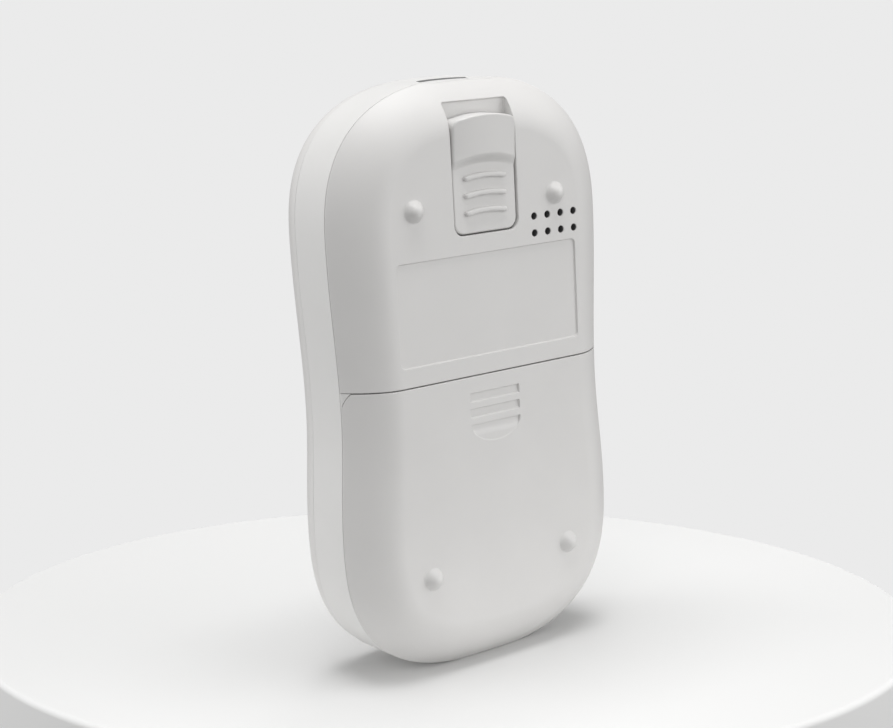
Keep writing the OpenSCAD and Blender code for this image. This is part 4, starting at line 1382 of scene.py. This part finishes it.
class METER_OT_keys(bpy.types.Operator):
    """Main key and the two side keys, with a raised arrow on each side key"""
    bl_idname = "meter.keys"
    bl_label = "Keys"

    def execute(self, context):
        for node, (body, slot) in KEY_BODIES.items():
            self.add_key(node, body, slot)
        return {"FINISHED"}

    @staticmethod
    def add_key(node, body, slot):
        x0, z0, r = KEYS[node]
        crown = size("key_dome") * r / KEYS["main_button"][2]
        edge = 0.35
        pointing = {"up_button": 1, "down_button": -1}.get(node, 0)
        relief = Relief(circle_loop(x0, z0, r, 96))
        relief.circles(x0, z0, r - edge * EDGE_LINES, 96)
        relief.circles(x0, z0, (r - edge) * np.linspace(0.1, 0.9, 9), 72)
        if pointing:
            for grow in (0.0, 0.02, 0.05, 0.09, 0.12):
                relief.line(arrow_loop(x0, z0, pointing, grow))
        else:
            for off in (0.25, 0.21, 0.15, 0.09, 0.05):
                relief.circles(x0, z0, (RING_R - off, RING_R + off), 64)

        def top(x, z, depth):
            away = np.hypot(x - x0, z - z0)
            y = -FRONT_Y + KEY_PROUD - crown + np.sqrt(crown ** 2 - np.minimum(away, r) ** 2)
            y = y - round_off(r - away, edge)
            if pointing:
                out = arrow_distance(x - x0, z - z0, pointing)
                return y - MARK_RISE + MARK_RISE * ease(1 - out / MARK_RISE)
            return y - MARK_RISE * ease(1 - (np.abs(away - RING_R) - 0.05) / 0.2)

        solid = Solid()
        inner = -FRONT_Y - SHELL_WALL - 0.3
        relief.build(solid, top, level(inner - 0.1), side=-1)
        # The flange behind the cover and the stem down to the switch
        solid.tube(x0, z0, r + 0.8, 0.02, -inner, -inner + 0.8, 64)
        solid.tube(x0, z0, 1.0, 0.02, -inner, high(node).y)
        solid.piece(node + "_cap", body, slot, node)


def arrow_distance(x, z, pointing):
    """Distance outside a triangle that points up or down"""
    w = z * pointing - ARROW_FOOT
    return np.maximum(-w, (np.abs(x) * ARROW_TALL + (w - ARROW_TALL) * ARROW_HALF) / ARROW_SLANT)


def arrow_loop(x0, z0, pointing, grow):
    """The line at a distance outside that triangle"""
    foot = ARROW_HALF + grow * (ARROW_SLANT + ARROW_HALF) / ARROW_TALL
    peak = ARROW_FOOT + ARROW_TALL + grow * ARROW_SLANT / ARROW_HALF
    points = [(-foot, ARROW_FOOT - grow), (foot, ARROW_FOOT - grow), (0, peak)]
    return np.array([(x0 + x, z0 + pointing * z) for x, z in points])


# ---------------------------------------------------------------- inner pieces

def sleeve_material():
    """Plain printed sleeve: blue with a bare metal end"""
    shade = Shade("cell_sleeve")
    z = shade.axes()[2]
    ends = abs(z - 27.95) > 21.2
    cloud = shade.noise(3.0)
    blue = shade.mottled(cloud, tint("sleeve"), 0.92, 1.08)
    return shade.finish(shade.between(ends, blue, (0.55, 0.55, 0.54, 1)), 0.30 + (cloud - 0.5) * 0.1,
                        Metallic=0.25 + ends * 0.75)


def board_material():
    """Solder mask over fine tracks"""
    shade = Shade("board_green", Coat_Weight=0.3)
    tracks = shade.node("ShaderNodeTexBrick", {"offset": 0.5}, shade.place(), Scale=320.0,
                        Mortar_Size=0.01, out="Fac")
    cloud = shade.noise(2.5, 3.0)
    shade.bump(tracks, 0.2, 0.02)
    mask = shade.mottled(cloud, tint("board"), 0.85, 1.15)
    return shade.finish(shade.between(tracks * 0.35, mask, (0.03, 0.16, 0.06, 1)), 0.32 + cloud * 0.08)


def speaker_material():
    """Dark cone behind a fine mesh"""
    shade = Shade("speaker_mesh")
    fine = shade.noise(0.25, 1.0)
    shade.bump(fine, 0.4, 0.05)
    return shade.finish(shade.between(fine, (0.010, 0.010, 0.011, 1), (0.022, 0.022, 0.024, 1)),
                        0.5 + fine * 0.2)


class METER_OT_inner_parts(bpy.types.Operator):
    """Finishes of the carried-over pieces inside the housing"""
    bl_idname = "meter.inner_parts"
    bl_label = "Inner parts"

    def execute(self, context):
        for made, nodes in (
                (plastic("inner_plastic"), ("eject_carriage", "battery_tray", "display_holder")),
                (plastic("dark_plastic"), ("strip_guide", "strip_connector")),
                (metal("spring_steel", (0.60, 0.59, 0.57), 0.28),
                 ("eject_spring", "battery_springs", "battery_plates", "button_switches",
                  "case_screws", "board_screws", "cover_screws")),
                (metal("contact_gold", (0.72, 0.50, 0.18), 0.25), ("connector_contacts",)),
                (sleeve_material(), ("battery_left", "battery_right")),
                (board_material(), ("main_board",)),
                (plastic("chip_resin"), ("board_chips",)),
                (plastic("soft_rubber"), ("display_connector", "speaker_gasket")),
                (speaker_material(), ("speaker",))):
            for node in nodes:
                dress(node, made)
        return {"FINISHED"}


# ---------------------------------------------------------------- stage

CAMERA = {"focal_px": 1800.0, "turn": 0.6284, "rise": 0.202, "roll": -0.0521,
          "target_px": (455.0266, 368.6209), "distance_mm": 299.0346}
BODY_MIDDLE = Vector((0, 0, 48 * MM))
LAMP_AIM = Vector((0, 0, 50 * MM))
# Place, width and power of each square lamp, in metres and watts
LAMPS = {
    "top_lamp": ((0.0, 0.0, 0.75), 0.5, 4.5),
    "back_lamp": ((-0.48, 0.60, 0.25), 0.8, 3.7),
    "side_lamp": ((0.62, -0.46, 0.14), 0.6, 2.85),
    "fill_lamp": ((0.52, 0.62, 0.20), 0.6, 1.4),
}
WORLD_LIGHT = 0.27
BACKGROUND = (0.83, 0.83, 0.83, 1)


def add_camera():
    turn, rise, roll = CAMERA["turn"], CAMERA["rise"], CAMERA["roll"]
    back = Vector((math.sin(turn) * math.cos(rise), math.cos(turn) * math.cos(rise), math.sin(rise)))
    right = (-back).cross(Vector((0, 0, 1))).normalized()
    up = right.cross(-back)
    c, s = math.cos(roll), math.sin(roll)
    right, up = c * right + s * up, -s * right + c * up
    distance = CAMERA["distance_mm"] * MM
    per_px = distance / CAMERA["focal_px"]
    off_x = CAMERA["target_px"][0] - PHOTO_WIDTH / 2
    off_y = CAMERA["target_px"][1] - PHOTO_HEIGHT / 2
    place = BODY_MIDDLE + distance * back - off_x * per_px * right + off_y * per_px * up
    data = bpy.data.cameras.new("photo_camera")
    data.sensor_width = 36
    data.lens = CAMERA["focal_px"] / PHOTO_WIDTH * data.sensor_width
    data.clip_start = 0.01
    camera = placed("photo_camera", data)
    camera.matrix_world = Matrix.Translation(place) @ Matrix((right, up, back)).transposed().to_4x4()
    bpy.context.scene.camera = camera


def add_lamp(name, place, wide, power):
    data = bpy.data.lights.new(name, "AREA")
    data.size = wide
    data.energy = power
    lamp = placed(name, data)
    lamp.location = place
    lamp.rotation_euler = (LAMP_AIM - Vector(place)).to_track_quat("-Z", "Y").to_euler()


class METER_OT_stage(bpy.types.Operator):
    """Round white table, soft studio light, pale surroundings and the camera"""
    bl_idname = "meter.stage"
    bl_label = "Stage"

    def execute(self, context):
        add_camera()
        context.scene.view_settings.view_transform = "Standard"
        self.add_table()
        self.add_world(context.scene)
        for name, lamp in LAMPS.items():
            add_lamp(name, *lamp)
        return {"FINISHED"}

    @staticmethod
    def add_table():
        """A round white table top with a rounded rim"""
        middle = (-3.9, -17.8)
        right, near = (0.547, -0.837), (-0.837, -0.547)
        half_wide, half_deep = 86.5, 65.4
        thick = 18.0
        steps = 192
        turn = [2 * math.pi * i / steps for i in range(steps)]
        profile = [(-1.0, 0.0), *((-1 + math.sin(a), math.cos(a) - 1)
                                  for a in (k * math.pi / 16 for k in range(1, 9))), (0.0, -thick)]
        verts = []
        for out, z in profile:
            for a in turn:
                u, v = (half_wide + out) * math.cos(a), (half_deep + out) * math.sin(a)
                verts.append(((middle[0] + u * right[0] + v * near[0]) * MM,
                              (middle[1] + u * right[1] + v * near[1]) * MM, z * MM))
        faces = [(a + (i + 1) % steps, a + i, a + steps + i, a + steps + (i + 1) % steps)
                 for a in range(0, len(verts) - steps, steps) for i in range(steps)]
        faces.append(tuple(reversed(range(steps))))
        faces.append(tuple(range(len(verts) - steps, len(verts))))
        mesh = bpy.data.meshes.new("table")
        mesh.from_pydata(verts, [], faces)
        mesh.shade_smooth()
        mesh.set_sharp_from_angle(angle=math.radians(60))
        shade = Shade("table")
        mesh.materials.append(shade.finish(
            shade.mottled(shade.noise(60.0), tint("table"), 0.995, 1.005), 0.6, Specular_IOR_Level=0.1))
        return placed("table", mesh)

    @staticmethod
    def add_world(scene):
        """Even light all round, with a pale background for the camera alone"""
        scene.world = bpy.data.worlds.new("studio")
        scene.world.use_nodes = True
        world = Nodes(scene.world.node_tree)
        ground = world.tree.nodes["Background"]
        world.set(ground, {"Color": (1, 1, 1, 1), "Strength": WORLD_LIGHT})
        seen = world.node("ShaderNodeBackground", Color=BACKGROUND)
        path = world.node("ShaderNodeLightPath", out="Is Camera Ray")
        mix = world.node("ShaderNodeMixShader", None, path, Value(world, ground.outputs[0]), seen)
        world.put(world.tree.nodes["World Output"].inputs[0], mix)


# ---------------------------------------------------------------- panel and registration

class METER_PT_panel(bpy.types.Panel):
    """Lists the sizes, colours and build steps"""
    bl_idname = "METER_PT_panel"
    bl_label = "Blood glucose meter"
    bl_space_type = "VIEW_3D"
    bl_region_type = "UI"
    bl_category = "Meter"

    def draw(self, context):
        layout = self.layout
        for group in (context.scene.meter_sizes, context.scene.meter_colours):
            box = layout.box()
            for name in group.__annotations__:
                box.prop(group, name)
        for step in STEPS:
            layout.operator(step.bl_idname)


STEPS = (METER_OT_stage, METER_OT_rear_cover, METER_OT_battery_door, METER_OT_side_band,
         METER_OT_front_cover, METER_OT_display, METER_OT_slider, METER_OT_keys, METER_OT_inner_parts)
CLASSES = (MeterSizes, MeterColours, *STEPS, METER_PT_panel)


def register():
    for made in CLASSES:
        bpy.utils.register_class(made)
    bpy.types.Scene.meter_sizes = bpy.props.PointerProperty(type=MeterSizes)
    bpy.types.Scene.meter_colours = bpy.props.PointerProperty(type=MeterColours)


def unregister():
    del bpy.types.Scene.meter_colours
    del bpy.types.Scene.meter_sizes
    for made in reversed(CLASSES):
        bpy.utils.unregister_class(made)


def main():
    register()
    bpy.ops.meter.stage()
    bpy.ops.meter.rear_cover()
    bpy.ops.meter.battery_door()
    bpy.ops.meter.side_band()
    bpy.ops.meter.front_cover()
    bpy.ops.meter.display()
    bpy.ops.meter.slider()
    bpy.ops.meter.keys()
    bpy.ops.meter.inner_parts()


if __name__ == "__main__":
    main()
